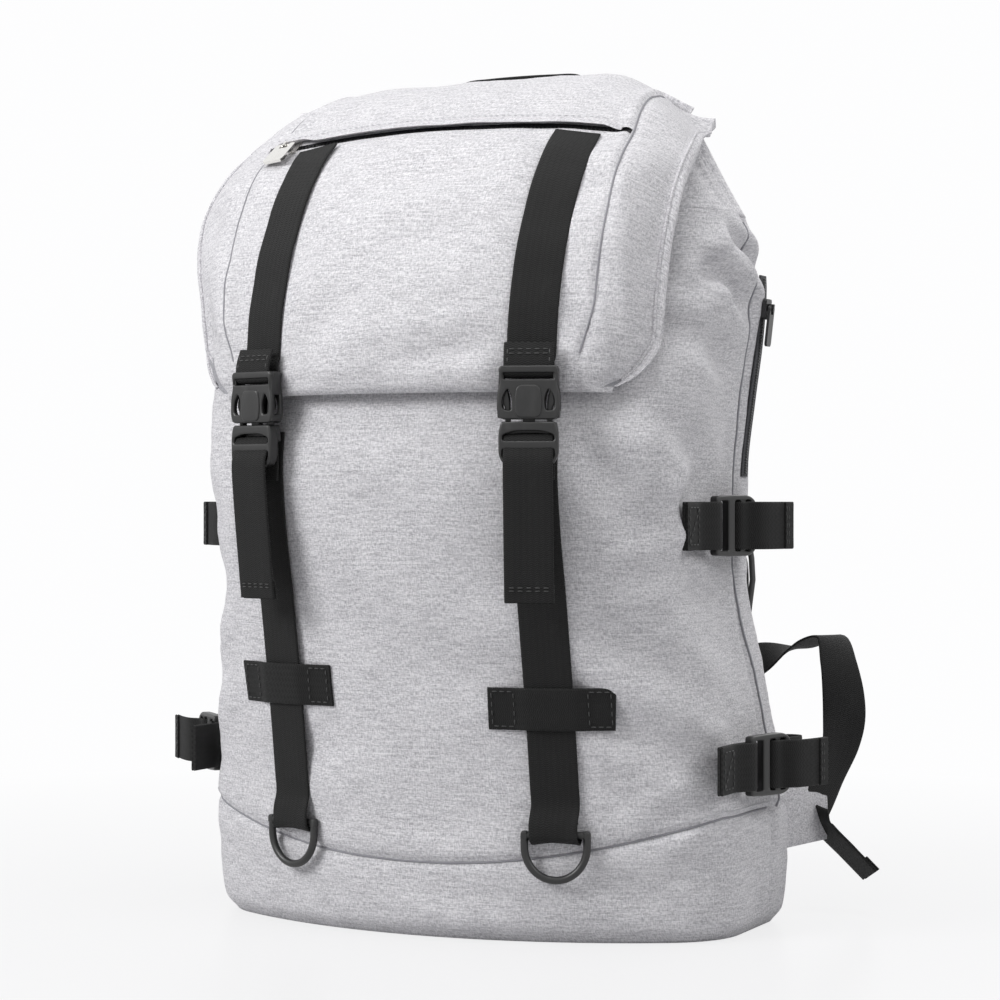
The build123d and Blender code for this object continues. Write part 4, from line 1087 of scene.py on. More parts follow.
@dataclass
class Body:
    """The cloth body: front and sides, base, back, collar and what is inside."""

    columns: int = 460
    rows: int = 230
    cloth: float = 1.6
    creases: list[Crease] = field(
        default_factory=lambda: [
            Crease((143, -34, 356), (146, 34, 330), 6.5, 7.0),
            Crease((120, -60, 318), (144, 8, 300), 6.0, 9.0),
            Crease((146, 2, 376), (140, 62, 346), 5.5, 6.0),
            Crease((138, -40, 330), (146, 14, 362), 4.5, 6.0),
            Crease((104, -84, 284), (138, -14, 246), 5.5, 11.0),
            Crease((96, -88, 268), (124, -60, 206), 4.5, 12.0),
            Crease((118, -70, 214), (134, -6, 238), 4.0, 8.0),
            Crease((112, -72, 186), (136, -8, 204), 3.6, 7.0),
            Crease((112, -68, 160), (140, -10, 112), 4.4, 12.0),
            Crease((134, -36, 186), (138, 22, 174), 3.4, 8.0),
            Crease((88, -82, 130), (144, -30, 92), 3.4, 10.0),
            Crease((124, -50, 62), (148, 6, 84), 3.0, 7.0),
            Crease((-143, -28, 340), (-146, 30, 322), 4.0, 8.0),
            Crease((-122, -64, 230), (-134, -8, 196), 3.6, 9.0),
            Crease((-108, -74, 250), (-126, -50, 180), 3.2, 10.0),
            Crease((-118, -62, 150), (-140, -12, 112), 3.6, 10.0),
            Crease((-30, -104, 244), (34, -101, 176), 2.4, 14.0),
            Crease((-36, -98, 178), (20, -94, 120), 2.2, 13.0),
            Crease((20, -96, 150), (112, -70, 118), 2.4, 12.0),
            Crease((-110, -66, 86), (-30, -84, 104), 2.0, 12.0),
            Crease((-20, -76, 30), (60, -74, 22), 1.8, 9.0),
            Crease((84, -68, 34), (128, -46, 20), 2.0, 8.0),
        ]
    )

    def surface(self, share: float, height: float) -> Vector:
        """A place on the outside of the body, in millimetres, with folds and seams.

        Args:
            share: place round the outline.
            height: share of the rim's height.

        Returns:
            The place.
        """
        z = height * FORM.rim
        place, out = FORM.section(z, share)
        push = 1.6 * soft(place, 70, 3.0) + 0.9 * soft(place, 30, 8.0)
        push += 0.35 * soft(Vector((place.x, place.y, place.z * 1.8)), 12, 5.0)
        seam = z - FORM.seam_z(place.x)
        push -= 2.0 * bell(seam, 1.9)
        push += 1.0 * bell(seam - 9, 8) + 1.2 * bell(seam + 11, 9)
        if abs(place.x) > 100:
            push -= 1.5 * bell(place.y - FORM.rear_seam, 2.6)
            push += 0.8 * bell(abs(place.y - FORM.rear_seam) - 8, 7)
            for level in Level:
                cinch = bell(z - level.value, 26) * bell(place.y + 10, 42)
                push -= 2.0 * cinch
        for crease in self.creases:
            if place.x * crease.start[0] > 0 or abs(crease.start[0]) < 40:
                push += crease.push(place)
        if place.y > 55:
            push = min(push, 0.6)
        push *= ease(z / 14) * (1 - 0.6 * ease((z - 365) / 15))
        push = max(min(push, 4.6), -7.0)
        return place + out * push

    def build(self) -> None:
        """Makes the body's cloth as one shell, with its base closed."""
        turn_in = 10
        total = self.rows + turn_in

        def point(u: float, v: float) -> Vector:
            row = v * total
            if row < turn_in:
                shrink = math.sin(math.pi / 2 * row / turn_in)
                edge = self.surface(u, 0.0)
                centre = Vector((0, 5, 0))
                spot = centre + (edge - centre) * shrink
                return Vector((spot.x, spot.y, 0.15 * (1 - shrink))) * MM
            return self.surface(u, (row - turn_in) / self.rows) * MM

        shell = grid_object("pack_body_cloth", self.columns, total, point, closed=True)
        shell.data.materials.append(CLOTH)
        shell.data.materials.append(LINING)
        thicken(shell, self.cloth * MM, inner_material=True)
        smooth_shading(shell, 60)
        dress(
            shell,
            "root",
            "heather_cloth",
            CLOTH,
            LINING,
            stands_for=["body_wall", "base_panel", "back_panel"]
        )
        self.top_plate()
        self.collar()
        self.seam_threads()
        self.back_pads()
        for node, material, bevel in (
            ("base_board", BOARD, 0.5 * MM), ("laptop_sleeve", LINING, 0.6 * MM), (
                "collar_eyelets", DARK_METAL, 0.25 * MM
            ),
        ):
            repaint(node, material, bevel)

    def top_plate(self) -> None:
        """Cloth from the rim's back up to the lid's seam, and the bound seam itself."""

        def point(u: float, v: float) -> Vector:
            x = lerp(-106, 106, u)
            z = lerp(FORM.rim - 8, FORM.lid(x, 0).z - 6.5, v)
            y = lerp(FORM.at(FORM.rim)[2], FORM.hinge_y, (z - FORM.rim) / 70)
            return Vector((x, y + 0.5 * soft(Vector((x, 0, z)), 30, 2), z)) * MM

        plate = grid_object("back_top_cloth", 90, 30, point)
        thicken(plate, 3.0 * MM, offset=-1.0)
        dress(plate, "root", "heather_cloth", CLOTH)
        path = [(x * MM, 48.5 * MM, (FORM.lid(x, 0).z - 6.0) * MM) for x in (-104, -80, -50, 0, 50, 80, 104)]
        fold = ribbon("lid_hinge_fold", path, [(0, 0.35, 1)] * 7, 13 * MM, 1.2 * MM)
        dress(fold, "", "heather_cloth", CLOTH)
        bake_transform(fold)

    def collar(self) -> None:
        """Gathered cloth above the rim, cinched under the lid."""

        def point(u: float, v: float) -> Vector:
            place, out = FORM.section(FORM.rim, u)
            slope = ease((place.y + 50) / 100)
            top = lerp(22, 46, slope)
            lift = v * top
            centre = Vector((0, 16, FORM.rim))
            inwards = (centre - place).normalized()
            gather = v * lerp(24, 26, slope)
            waves = math.sin(u * math.tau * 34) * 2.2 + math.sin(u * math.tau * 13 + 1.3) * 1.6
            spot = place + inwards * (gather + waves * v**1.2) + out * 0.4 * (1 - v)
            if place.y > 40:
                spot.y = min(spot.y, lerp(54.0, 49.0, v) - 2.4)
            return Vector((spot.x, spot.y, FORM.rim + lift - 1.0)) * MM

        cloth = grid_object("collar_cloth", 360, 26, point, closed=True)
        thicken(cloth, 1.0 * MM, offset=0.0)
        dress(cloth, "root", "heather_cloth", CLOTH, stands_for=["collar"])

    def seam_threads(self) -> None:
        """Topstitching just above the base seam, and seam lines along the base seam and the rear seams."""
        rows, normals = [], []
        steps = 150
        seam_gap = 3.6
        line = []
        for i in range(steps + 1):
            share = lerp(0.235, 0.765, i / steps)
            place, out = FORM.section(45, share)
            z = FORM.seam_z(place.x) + seam_gap
            spot = self.surface(share, z / FORM.rim)
            line.append((spot + out * 0.15, out))
        for (a, out), (b, _) in zip(line, line[1:]):
            rows.append([a * MM, b * MM])
            normals.append(out)
        thread = stitches("base_seam_thread", rows, normals, 2.2 * MM, 1.0 * MM, 0.24 * MM)
        dress(thread, "root", "heather_cloth", THREAD)
        lines = []
        base = []
        for i in range(241):
            share = lerp(0.232, 0.768, i / 240)
            place, out = FORM.section(45, share)
            base.append(tuple(self.surface(share, FORM.seam_z(place.x) / FORM.rim) + out * 0.35))
        lines.append(bar("base_line", base, 0.6, Matrix.Identity(4)))
        for share in (self.rear_share(-1), self.rear_share(1)):
            rear = [tuple(
                self.surface(share, v / 90) + Vector((0.4 if share > 0.5 else -0.4, 0, 0))
            ) for v in range(15, 90)]
            lines.append(bar("rear_line", rear, 0.6, Matrix.Identity(4)))
        whole = join("body_seam_lines", lines)
        dress(whole, "root", "heather_cloth", SEAM)

    def rear_share(self, sign: int) -> float:
        """Share of the outline at which a rear seam lies."""
        shares = [lerp(0.2, 0.29, i / 60) for i in range(61)]
        best = min(shares, key=lambda share: abs(FORM.section(200, share)[0].y - FORM.rear_seam))
        return best if sign < 0 else 1 - best

    def back_pads(self) -> None:
        """Padded mesh panels against the wearer's back."""
        pads = []
        for x_low, x_high, z_low, z_high in ((-84, -22, 120, 376), (22, 84, 120, 376), (-84, 84, 52, 112)):

            def point(u: float, v: float, lows: tuple = (x_low, x_high, z_low, z_high)) -> Vector:
                around = u * math.tau
                x0, x1, z0, z1 = lows
                z = lerp(z0 + 2, z1 - 2, v)
                edge = min(1.0, 6 * min(v, 1 - v) + 0.25)
                half_x = (x1 - x0) / 2 - 2.5
                half_y = 3.4 * edge**0.5
                cx, cy = math.cos(around), math.sin(around)
                x = (x0 + x1) / 2 + half_x * math.copysign(abs(cx) ** 0.35, cx)
                y = FORM.at(z)[2] + 4.8 + half_y * math.copysign(abs(cy) ** 0.6, cy)
                return Vector((x, y, z)) * MM

            pad = grid_object("pad", 64, 60, point, closed=True)
            bm = bmesh.new()
            bm.from_mesh(pad.data)
            bmesh.ops.holes_fill(bm, edges=bm.edges)
            bm.to_mesh(pad.data)
            bm.free()
            inflate(pad, 5 * MM, 2.0 * MM)
            pads.append(pad)
        whole = join("back_pad_mesh", pads)
        dress(whole, "root", "air_mesh", MESH, stands_for=["back_pads"])


@dataclass
class Lid:
    """The lid pocket with its gussets, flap, zip and pull."""

    half: float = 130.0
    corner: float = 34.0
    columns: int = 150
    rows: int = 120
    mouth: float = 3.4
    creases: list[Crease] = field(
        default_factory=lambda: [
            Crease((92, -58, 396), (112, -64, 330), 4.6, 6.0),
            Crease((98, -80, 356), (118, -70, 296), 4.2, 6.5),
            Crease((88, -90, 330), (106, -82, 288), 3.2, 7.0),
            Crease((52, -44, 414), (102, -68, 366), 3.0, 9.0),
            Crease((60, -84, 372), (100, -84, 318), 3.2, 9.0),
            Crease((-126, -52, 352), (-98, -76, 326), 5.2, 6.0),
            Crease((-122, -68, 318), (-92, -84, 296), 3.6, 7.0),
            Crease((-118, -30, 402), (-96, -66, 372), 3.2, 8.0),
            Crease((-100, -76, 350), (-92, -92, 296), 2.6, 6.0),
            Crease((-52, -104, 300), (-20, -108, 342), 2.4, 12.0),
            Crease((-40, -62, 398), (36, -66, 392), 1.8, 14.0),
            Crease((-8, -100, 352), (40, -96, 372), 2.0, 13.0),
            Crease((0, -108, 296), (60, -104, 306), 2.2, 8.0),
        ]
    )

    def x_limit(self, z: float) -> float:
        """Half width at a height, with the lower corners rounded."""
        rise = FORM.lid_bottom + self.corner - z
        if rise <= 0:
            return self.half
        return self.half - (self.corner - math.sqrt(max(self.corner**2 - min(rise, self.corner) ** 2, 0)))

    def outer(self, u: float, v: float) -> Vector:
        """Outer face, with its puffed middle, strap dents and folds."""
        along = v * 8.0
        height = FORM.lid(0, along).z
        x = lerp(-1, 1, u) * self.x_limit(height)
        place = FORM.lid(x, along)
        out = FORM.lid_normal(x, along)
        edge = min(1 - abs(lerp(-1, 1, u)), 0.12) / 0.12
        push = 2.6 * ease(edge) - 1.6 * bell((1 - abs(lerp(-1, 1, u))) * 130, 2.5)
        push += 1.5 * soft(place, 55, 11.0) + 0.8 * soft(place, 24, 4.0) + 0.3 * soft(place, 10, 6.0)
        zip_away = (along - 3.0) * 34
        push *= 1 - 0.85 * bell(zip_away, 14)
        for crease in self.creases:
            push += crease.push(place)
        band = self.band_start(along)
        push -= 9.0 * max((abs(x) - band) / (self.half - band), 0.0) ** 1.4
        push += 1.0 * bell(abs(x) - band + 3.5, 3.0) - 1.5 * bell(abs(x) - band - 0.6, 1.8)
        if along > 3.15:
            under_strap = max(bell(x - 76, 16), bell(x + 76, 16))
            push = lerp(push, 0.1, min(1.25 * under_strap, 1.0))
        push -= 2.0 * bell((8 - along) * 30, 5)
        push *= ease(along / 0.6)
        return place + out * min(max(push, -10.5), 5.0)

    def band_start(self, along: float) -> float:
        """How far out the side band's seam runs at a place down the lid."""
        return lerp(98.0, 104.0, ease(along / 4)) - 8.0 * ease((along - 6.4) / 1.6)

    def build(self) -> None:
        """Makes the lid's cloth and everything sewn to it."""
        zip_limit = 102.0

        def keep(u: float, v: float) -> bool:
            x = lerp(-1, 1, u) * self.half
            return not (-self.mouth < (v * 8 - 3.0) * 34 < 1.9 and abs(x) < zip_limit)

        face = grid_object("face", self.columns, self.rows, lambda u, v: self.outer(u, v) * MM, keep)

        def under(u: float, v: float) -> Vector:
            along = v * 8.0
            height = FORM.lid(0, along).z
            x = lerp(1, -1, u) * self.x_limit(height)
            place = FORM.lid(x, along, 1.0)
            return (place + Vector((0, 0, 0.6 * soft(place, 26, 9)))) * MM

        liner = grid_object("liner", 90, 80, under)
        liner.data.materials.append(LINING)
        face.data.materials.append(CLOTH)
        parts = [face, liner]
        for sign in (-1, 1):

            def strip(u: float, v: float, sign: int = sign) -> Vector:
                along = v * 8.0
                limit = self.x_limit(FORM.lid(0, along).z)
                outer_edge = self.outer(0.0 if sign < 0 else 1.0, v)
                inner_edge = FORM.lid(sign * limit, along, 1.0)
                t = u if sign > 0 else 1 - u
                spot = outer_edge.lerp(inner_edge, t)
                puff = 3.4 * math.sin(math.pi * t) ** 0.6 * ease(along / 1.5)
                puff += 0.9 * soft(spot, 22, 7.0) * math.sin(math.pi * t)
                pinch = 1 - 0.5 * bell(spot.z - 306, 10)
                return (spot + Vector((sign * puff * pinch, 0, 0))) * MM

            gusset = grid_object("gusset", 16, self.rows, strip)
            gusset.data.materials.append(CLOTH)
            parts.append(gusset)

        def lip(u: float, v: float) -> Vector:
            outer_edge = self.outer(u, 1.0)
            x = lerp(-1, 1, u) * self.x_limit(FORM.lid(0, 8.0).z)
            inner_edge = FORM.lid(x, 8.0, 1.0)
            spot = outer_edge.lerp(inner_edge, v)
            return (spot + Vector((0, 0, -3.2 * math.sin(math.pi * v) ** 0.7))) * MM

        hem = grid_object("hem", self.columns, 8, lip)
        hem.data.materials.append(CLOTH)
        parts.append(hem)
        cloth = join("lid_cloth", parts)
        bm = bmesh.new()
        bm.from_mesh(cloth.data)
        bmesh.ops.remove_doubles(bm, verts=bm.verts, dist=0.05 * MM)
        bmesh.ops.recalc_face_normals(bm, faces=bm.faces)
        bm.to_mesh(cloth.data)
        bm.free()
        smooth_shading(cloth, 50)
        dress(cloth, "lid", "heather_cloth", stands_for=["lid_skin", "lid_liner", "lid_gussets"])
        self.piping()
        self.flap()
        self.zip()

    def piping(self) -> None:
        """The raised seams along both edges of each gusset."""
        for sign, hand in ((-1, "left"), (1, "right")):
            lines = []
            for depth in (0.0, 1.0):
                points = []
                for i in range(60):
                    v = lerp(0.06, 0.985, i / 59)
                    spot = self.outer(0.0 if sign < 0 else 1.0, v) if depth == 0 else FORM.lid(
                        sign * self.x_limit(FORM.lid(0, v * 8).z), v * 8, 1.0
                    )
                    points.append(tuple(spot + Vector((sign * 0.6, 0, 0))))
                lines.append(bar("seam", points, 0.9, Matrix.Identity(4)))
            seam = join(f"lid_{hand}_gusset_seam", lines)
            dress(seam, "lid", "heather_cloth", PAD_CLOTH)
            inner = []
            for i in range(110):
                v = lerp(0.03, 0.93, i / 109)
                limit = self.x_limit(FORM.lid(0, v * 8).z)
                u = (sign * self.band_start(v * 8) / limit + 1) / 2
                if 0.0 < u < 1.0:
                    inner.append(tuple(self.outer(u, v)))
            line = bar(f"lid_{hand}_band_seam", inner, 0.6, Matrix.Identity(4))
            dress(line, "lid", "heather_cloth", SEAM)

    def flap(self) -> None:
        """Folded storm flap over the zip's upper edge."""

        def point(u: float, v: float) -> Vector:
            x = lerp(-108, 97, u)
            reach = 3.04 - 0.1 * ease((-x - 78) / 12)
            along = lerp(2.3, reach, min(v, 1 - v) * 2)
            place = FORM.lid(x, along)
            out = FORM.lid_normal(x, along)
            share = min(v, 1 - v) * 2
            lower = v < 0.5
            rise = lerp(0.4, 4.4, share) if not lower else lerp(0.2, 2.4, share)
            wave = 0.5 * soft(place, 18, 21)
            taper = ease(min(x + 108, 97 - x) / 10)
            return (place + out * (rise + wave * share) * lerp(0.35, 1, taper)) * MM

        strip = grid_object("storm_flap_cloth", 150, 20, point)
        dress(strip, "lid", "heather_cloth", CLOTH, stands_for=["storm_flap"])
        rows, normals = [], []
        for i in range(56):
            x = lerp(-104, 92, i / 56)
            spots = [FORM.lid(x + dx, 2.84) + FORM.lid_normal(x, 2.84) * 4.0 for dx in (0, 3.6)]
            rows.append([s * MM for s in spots])
            normals.append(FORM.lid_normal(x, 2.78))
        thread = stitches("flap_thread", rows, normals, 2.2 * MM, 1.0 * MM, 0.24 * MM)
        dress(thread, "lid", "heather_cloth", THREAD)

    def zip(self) -> None:
        """Zip tapes with teeth, the slider and its bare pull."""
        tapes = []
        for offset in (0.085, -0.085):
            path, across = [], []
            for i in range(25):
                x = lerp(-103, 103, i / 24)
                place = FORM.lid(x, 3.0 + offset) - FORM.lid_normal(x, 3.0) * 0.9
                ahead = FORM.lid(x, 3.3) - FORM.lid(x, 2.7)
                path.append(place * MM)
                across.append(ahead)
            tapes.append(ribbon("tape", path, across, 4.8 * MM, 0.9 * MM, 3 * MM))
        tape = join("lid_zip_tape_cloth", tapes)
        dress(tape, "lid", "zip_cloth", ZIP_CLOTH, stands_for=["lid_zip_tapes"])
        rows, normals = [], []
        for offset in (0.03, -0.03):
            for i in range(92):
                x = lerp(-101, 101, i / 91)
                place = FORM.lid(x, 3.0 + offset) - FORM.lid_normal(x, 3.0) * 0.6
                way = (FORM.lid(x, 3.2) - FORM.lid(x, 2.8)).normalized() * 1.2
                rows.append([(place - way) * MM, (place + way) * MM])
                normals.append(FORM.lid_normal(x, 3.0))
        teeth = stitches("lid_zip_coil", rows, normals, 2.2 * MM, 0.1 * MM, 0.55 * MM)
        dress(teeth, "lid", "zip_cloth", PLASTIC)
        repaint("lid_zip_slider", BRIGHT, 0.35 * MM)
        repaint("lid_zip_pull", BRIGHT, 0.3 * MM)


@dataclass
class FrontStraps:
    """The two front straps, with buckles, tails, keepers and rings."""

    width: float = 25.0
    keeper_z: float = 126.0
    ring_z: float = 57.0

    def upper(self, side: Side) -> None:
        """Webbing down the lid and round the socket's bar."""
        s = side.value
        x = s * FORM.strap_x
        path = []
        for i in range(16):
            along = lerp(3.2, 7.5, i / 15)
            path.append(
                (FORM.lid(x, along) + FORM.lid_normal(x, along) * (1.7 + 0.25 * math.sin(i * 1.7))) * MM
            )
        place = FORM.buckle_frame(side)
        local = [
            (1.3, 31.0),
            (1.3, 25.0),
            (2.2, 21.9),
            (4.6, 21.4),
            (6.9, 22.4),
            (7.6, 26.0),
            (7.2, 31.0),
            (4.4, 38.5)
        ]
        path += [place @ (Vector((0, up, out)) * MM) for out, up in local]
        across = [FORM.across(side)] * len(path)
        strap = ribbon(f"{side.hand}_upper_webbing", path, across, self.width * MM)
        dress(strap, "lid", "webbing", WEB, stands_for=[f"{side.hand}_upper_strap"])
        rows = []
        for up, out in ((33.0, 7.6), (35.2, 6.6)):
            rows.append([place @ (Vector((dx, up, out)) * MM) for dx in (-10.5, 10.5)])
        for dx in (-10.5, 10.5):
            rows.append([place @ (Vector((dx, up, out)) * MM) for up, out in ((28, 8.4), (36, 6.4))])
        hem = 3.36
        top = FORM.lid(x, hem) + FORM.lid_normal(x, hem) * 2.0
        out_way = Vector((s * math.sin(FORM.lean), -math.cos(FORM.lean), 0))
        rows.append([(top + Vector(FORM.across(side)) * dx) * MM for dx in (-10.5, 10.5)])
        thread = stitches(f"{side.hand}_upper_thread", rows, [out_way] * 4 + [FORM.lid_normal(x, hem)])
        dress(thread, "lid", "webbing", BLACK_THREAD)

    def buckle(self, side: Side) -> None:
        """Side-release buckle: curved socket with side windows, and a clip with two slots."""
        place = FORM.buckle_frame(side)
        shell = rounded([
            (-14.2, 0.4, 2), (-15.8, 5, 4), (-15.4, 14, 6), (-14.0, 19, 4), (-15.2, 27, 3),
            (15.2, 27, 3), (14.0, 19, 4), (15.4, 14, 6), (15.8, 5, 4), (14.2, 0.4, 2),
        ])
        slot = rounded([(-12.9, 20.2, 1), (-12.9, 23.5, 1), (12.9, 23.5, 1), (12.9, 20.2, 1)])
        windows = [
            rounded([
                (k * 8.6, 4.6, 1.5),
                (k * 12.9, 5.0, 2),
                (k * 13.2, 11.0, 3),
                (k * 10.2, 15.8, 1.5),
                (k * 8.0, 11, 3)
            ])
            for k in (-1, 1)
        ]
        halves = [
            moulded("front", [shell, slot, *windows], 5.9, 8.9, 0.9, place),
            moulded("back", [shell, slot, *windows], 0.2, 2.6, 0.7, place),
            moulded("thumb", [rounded(
                [(-6.2, 1.2, 3), (-7.2, 9, 4), (-5.6, 17.4, 3), (5.6, 17.4, 3), (7.2, 9, 4), (6.2, 1.2, 3)]
            )],
                    7.0, 9.6, 0.7, place),
            moulded(
                "bar",
                [rounded([(-14.6, 23.6, 1), (-14.6, 26.8, 1), (14.6, 26.8, 1), (14.6, 23.6, 1)])],
                2.4,
                6.4,
                0.8,
                place
            ),
        ]
        for k in (-1, 1):
            wall = rounded(
                [(k * 15.3, 1.0, 0.6), (k * 15.6, 4.4, 0.6), (k * 13.4, 4.4, 0.6), (k * 13.2, 1.0, 0.6)]
            )
            halves.append(moulded("wall", [wall], 1.2, 8.0, 0.4, place))
            wall = rounded(
                [(k * 15.0, 14.6, 0.8), (k * 14.6, 26.4, 0.8), (k * 12.9, 26.4, 0.8), (k * 11.6, 14.8, 0.8)]
            )
            halves.append(moulded("wall", [wall], 1.2, 8.0, 0.4, place))
        socket = join(f"{side.hand}_socket_shell", halves)
        smooth_shading(socket, 35)
        dress(socket, "lid", "black_plastic", PLASTIC, stands_for=[f"{side.hand}_buckle_socket"])

        frame_line = rounded([
            (-13.6, -0.8, 1.5), (-14.9, -6, 3), (-14.9, -17.5, 3), (-12.4, -22.2, 3.5),
            (12.4, -22.2, 3.5), (14.9, -17.5, 3), (14.9, -6, 3), (13.6, -0.8, 1.5),
        ])
        arch = rounded([
            (-12.9, -10.3, 1.2),
            (-12.9, -7.4, 2.4),
            (-7, -5.4, 4),
            (7, -5.4, 4),
            (12.9, -7.4, 2.4),
            (12.9, -10.3, 1.2)
        ])
        lower = rounded([(-12.9, -18.4, 1.2), (-12.9, -14.4, 1.2), (12.9, -14.4, 1.2), (12.9, -18.4, 1.2)])
        pieces = [
            moulded("front", [frame_line, arch, lower], 3.0, 9.2, 1.1, place),
            moulded(
                "heel",
                [rounded([(-13.8, -1.0, 1), (-14.7, -9.4, 1.5), (14.7, -9.4, 1.5), (13.8, -1.0, 1)]), arch],
                0.6,
                4.0,
                0.8,
                place
            ),
            moulded(
                "lip",
                [rounded([(-12.2, -18.7, 1), (-11.2, -22.6, 3), (11.2, -22.6, 3), (12.2, -18.7, 1)])],
                4.0,
                9.6,
                1.3,
                place
            ),
        ]
        clip = join(f"{side.hand}_clip_frame", pieces)
        smooth_shading(clip, 35)
        dress(clip, f"{side.hand}_clip", "black_plastic", PLASTIC, stands_for=[f"{side.hand}_buckle_clip"])

        arms = [moulded(
            "tongue",
            [rounded([(-3, -1, 0.8), (-2.4, 14.4, 2), (2.4, 14.4, 2), (3, -1, 0.8)])],
            2.7,
            5.8,
            0.6,
            place
        )]
        for k in (-1, 1):
            arm = rounded([
                (k * 9.0, -1.0, 0.6), (k * 9.2, 9, 2), (k * 10.4, 15.2, 1.2), (k * 12.4, 14.2, 1.2),
                (k * 13.3, 8.6, 1.6), (k * 12.0, 6.4, 1), (k * 11.8, -1.0, 0.6),
            ])
            arms.append(moulded("arm", [arm], 2.6, 6.2, 0.8, place))
        prongs = join(f"{side.hand}_clip_prongs", arms)
        smooth_shading(prongs, 35)
        dress(
            prongs, f"{side.hand}_clip", "black_plastic", PLASTIC, stands_for=[f"{side.hand}_buckle_prongs"]
        )

    def tail(self, side: Side) -> None:
        """Webbing round the clip's bar and its hemmed tail."""
        place = FORM.buckle_frame(side)
        local = [
            (1.2, -29.5), (1.0, -20), (1.2, -11), (2.6, -8.0),
            (6.4, -7.6), (8.1, -10.0), (8.6, -14.6), (10.2, -18.0),
            (10.5, -24), (9.4, -38), (7.6, -56), (5.6, -74), (3.8, -90.5),
        ]
        path = [place @ (Vector((0, up, out)) * MM) for out, up in local]
        across = [place.to_3x3() @ Vector((1, 0, 0)) for _ in path]
        strap = ribbon("tail", path, across, self.width * MM)
        hem_local = [(2.0, -90.9), (2.6, -86), (3.6, -81.5)]
        hem = ribbon(
            "hem",
            [place @ (Vector((0, up, out)) * MM) for out, up in hem_local],
            across[:3],
            self.width * MM,
            1.4 * MM
        )
        whole = join(f"{side.hand}_tail_webbing", [strap, hem])
        smooth_shading(whole, 60)
        dress(whole, f"{side.hand}_clip", "webbing", WEB, stands_for=[f"{side.hand}_strap_tail"])
        rows = [
            [place @ (Vector((dx, up, out)) * MM) for dx in (-10.8, 10.8)] for up,
            out in ((-83.2, 5.5), (-84.8, 5.3))
        ]
        out_way = place.to_3x3() @ Vector((0, 0, 1))
        dress(
            stitches(f"{side.hand}_tail_thread", rows, [out_way] * 2),
            f"{side.hand}_clip",
            "webbing",
            BLACK_THREAD
        )

    def main(self, side: Side) -> None:
        """Webbing down the front to the loop that holds the ring."""
        s = side.value
        x = s * FORM.strap_x
        ring_y = -67.92
        levels = [262 - i * 9.5 for i in range(21)]
        path = [Vector((x, FORM.front_y(x, z) - 2.4 - 0.3 * math.sin(z / 17), z)) * MM for z in levels]
        loop = [(-3.4, 6), (-3.4, 0), (-2.4, -2.5), (0, -3.4), (2.4, -2.5), (3.4, 0), (3.2, 7)]
        path += [Vector((x, ring_y + dy, self.ring_z + dz)) * MM for dy, dz in loop]
        strap = ribbon(f"{side.hand}_front_webbing", path, [FORM.across(side)] * len(path), self.width * MM)
        dress(strap, "root", "webbing", WEB, stands_for=[f"{side.hand}_front_strap"])
        out_way = Vector((s * math.sin(FORM.lean), -math.cos(FORM.lean), 0))
        across = Vector(FORM.across(side))
        rows = []
        for z in (64.5, 66.6):
            middle = Vector((x, FORM.front_y(x, z) - 3.4, z))
            rows.append([(middle + across * dx) * MM for dx in (-10.5, 10.5)])
        dress(stitches(f"{side.hand}_front_thread", rows, [out_way] * 2), "root", "webbing", BLACK_THREAD)

    def keeper(self, side: Side) -> None:
        """Loop of webbing sewn across the strap, with folded ends."""
        s = side.value
        x = s * FORM.strap_x
        level = self.keeper_z - s * 4.5
        across = Vector(FORM.across(side))
        out = Vector((s * math.sin(FORM.lean), -math.cos(FORM.lean), 0))
        rise = Vector((0, FORM.front_y(x, level + 11) - FORM.front_y(x, level - 11), 22.0)).normalized()
        base = Vector((x, FORM.front_y(x, level), level))

        def spot(dx: float, lift: float, up: float = 0.0) -> Vector:
            return base + across * dx + out * (lift - FORM.sag(abs(dx))) + rise * up

        profile = [
            (-32.5, 1.2),
            (-27, 1.4),
            (-20, 1.9),
            (-15.4, 3.2),
            (-12, 4.3),
            (0, 4.5),
            (12, 4.3),
            (15.4, 3.2),
            (20, 1.9),
            (27, 1.4),
            (32.5, 1.2)
        ]
        path = [spot(dx, lift) * MM for dx, lift in profile]
        band = ribbon("band", path, [rise] * len(path), 22 * MM, 1.5 * MM)
        ends = []
        for k in (-1, 1):
            fold = [spot(k * dx, lift) * MM for dx, lift in ((24.5, 0.7), (28, 0.5), (32.3, 0.5))]
            ends.append(ribbon("fold", fold, [rise] * 3, 21.6 * MM, 1.3 * MM))
        whole = join(f"{side.hand}_keeper_webbing", [band, *ends])
        smooth_shading(whole, 60)
        dress(whole, "root", "webbing", WEB, stands_for=[f"{side.hand}_keeper"])
        rows = []
        for k in (-1, 1):
            box = [(19, -9), (30.5, -9), (30.5, 9), (19, 9), (19, -9)]
            rows.append([spot(k * dx, lerp(3.0, 2.35, (dx - 19) / 11), up) * MM for dx, up in box])
        dress(stitches(f"{side.hand}_keeper_thread", rows, [out, out]), "root", "webbing", BLACK_THREAD)

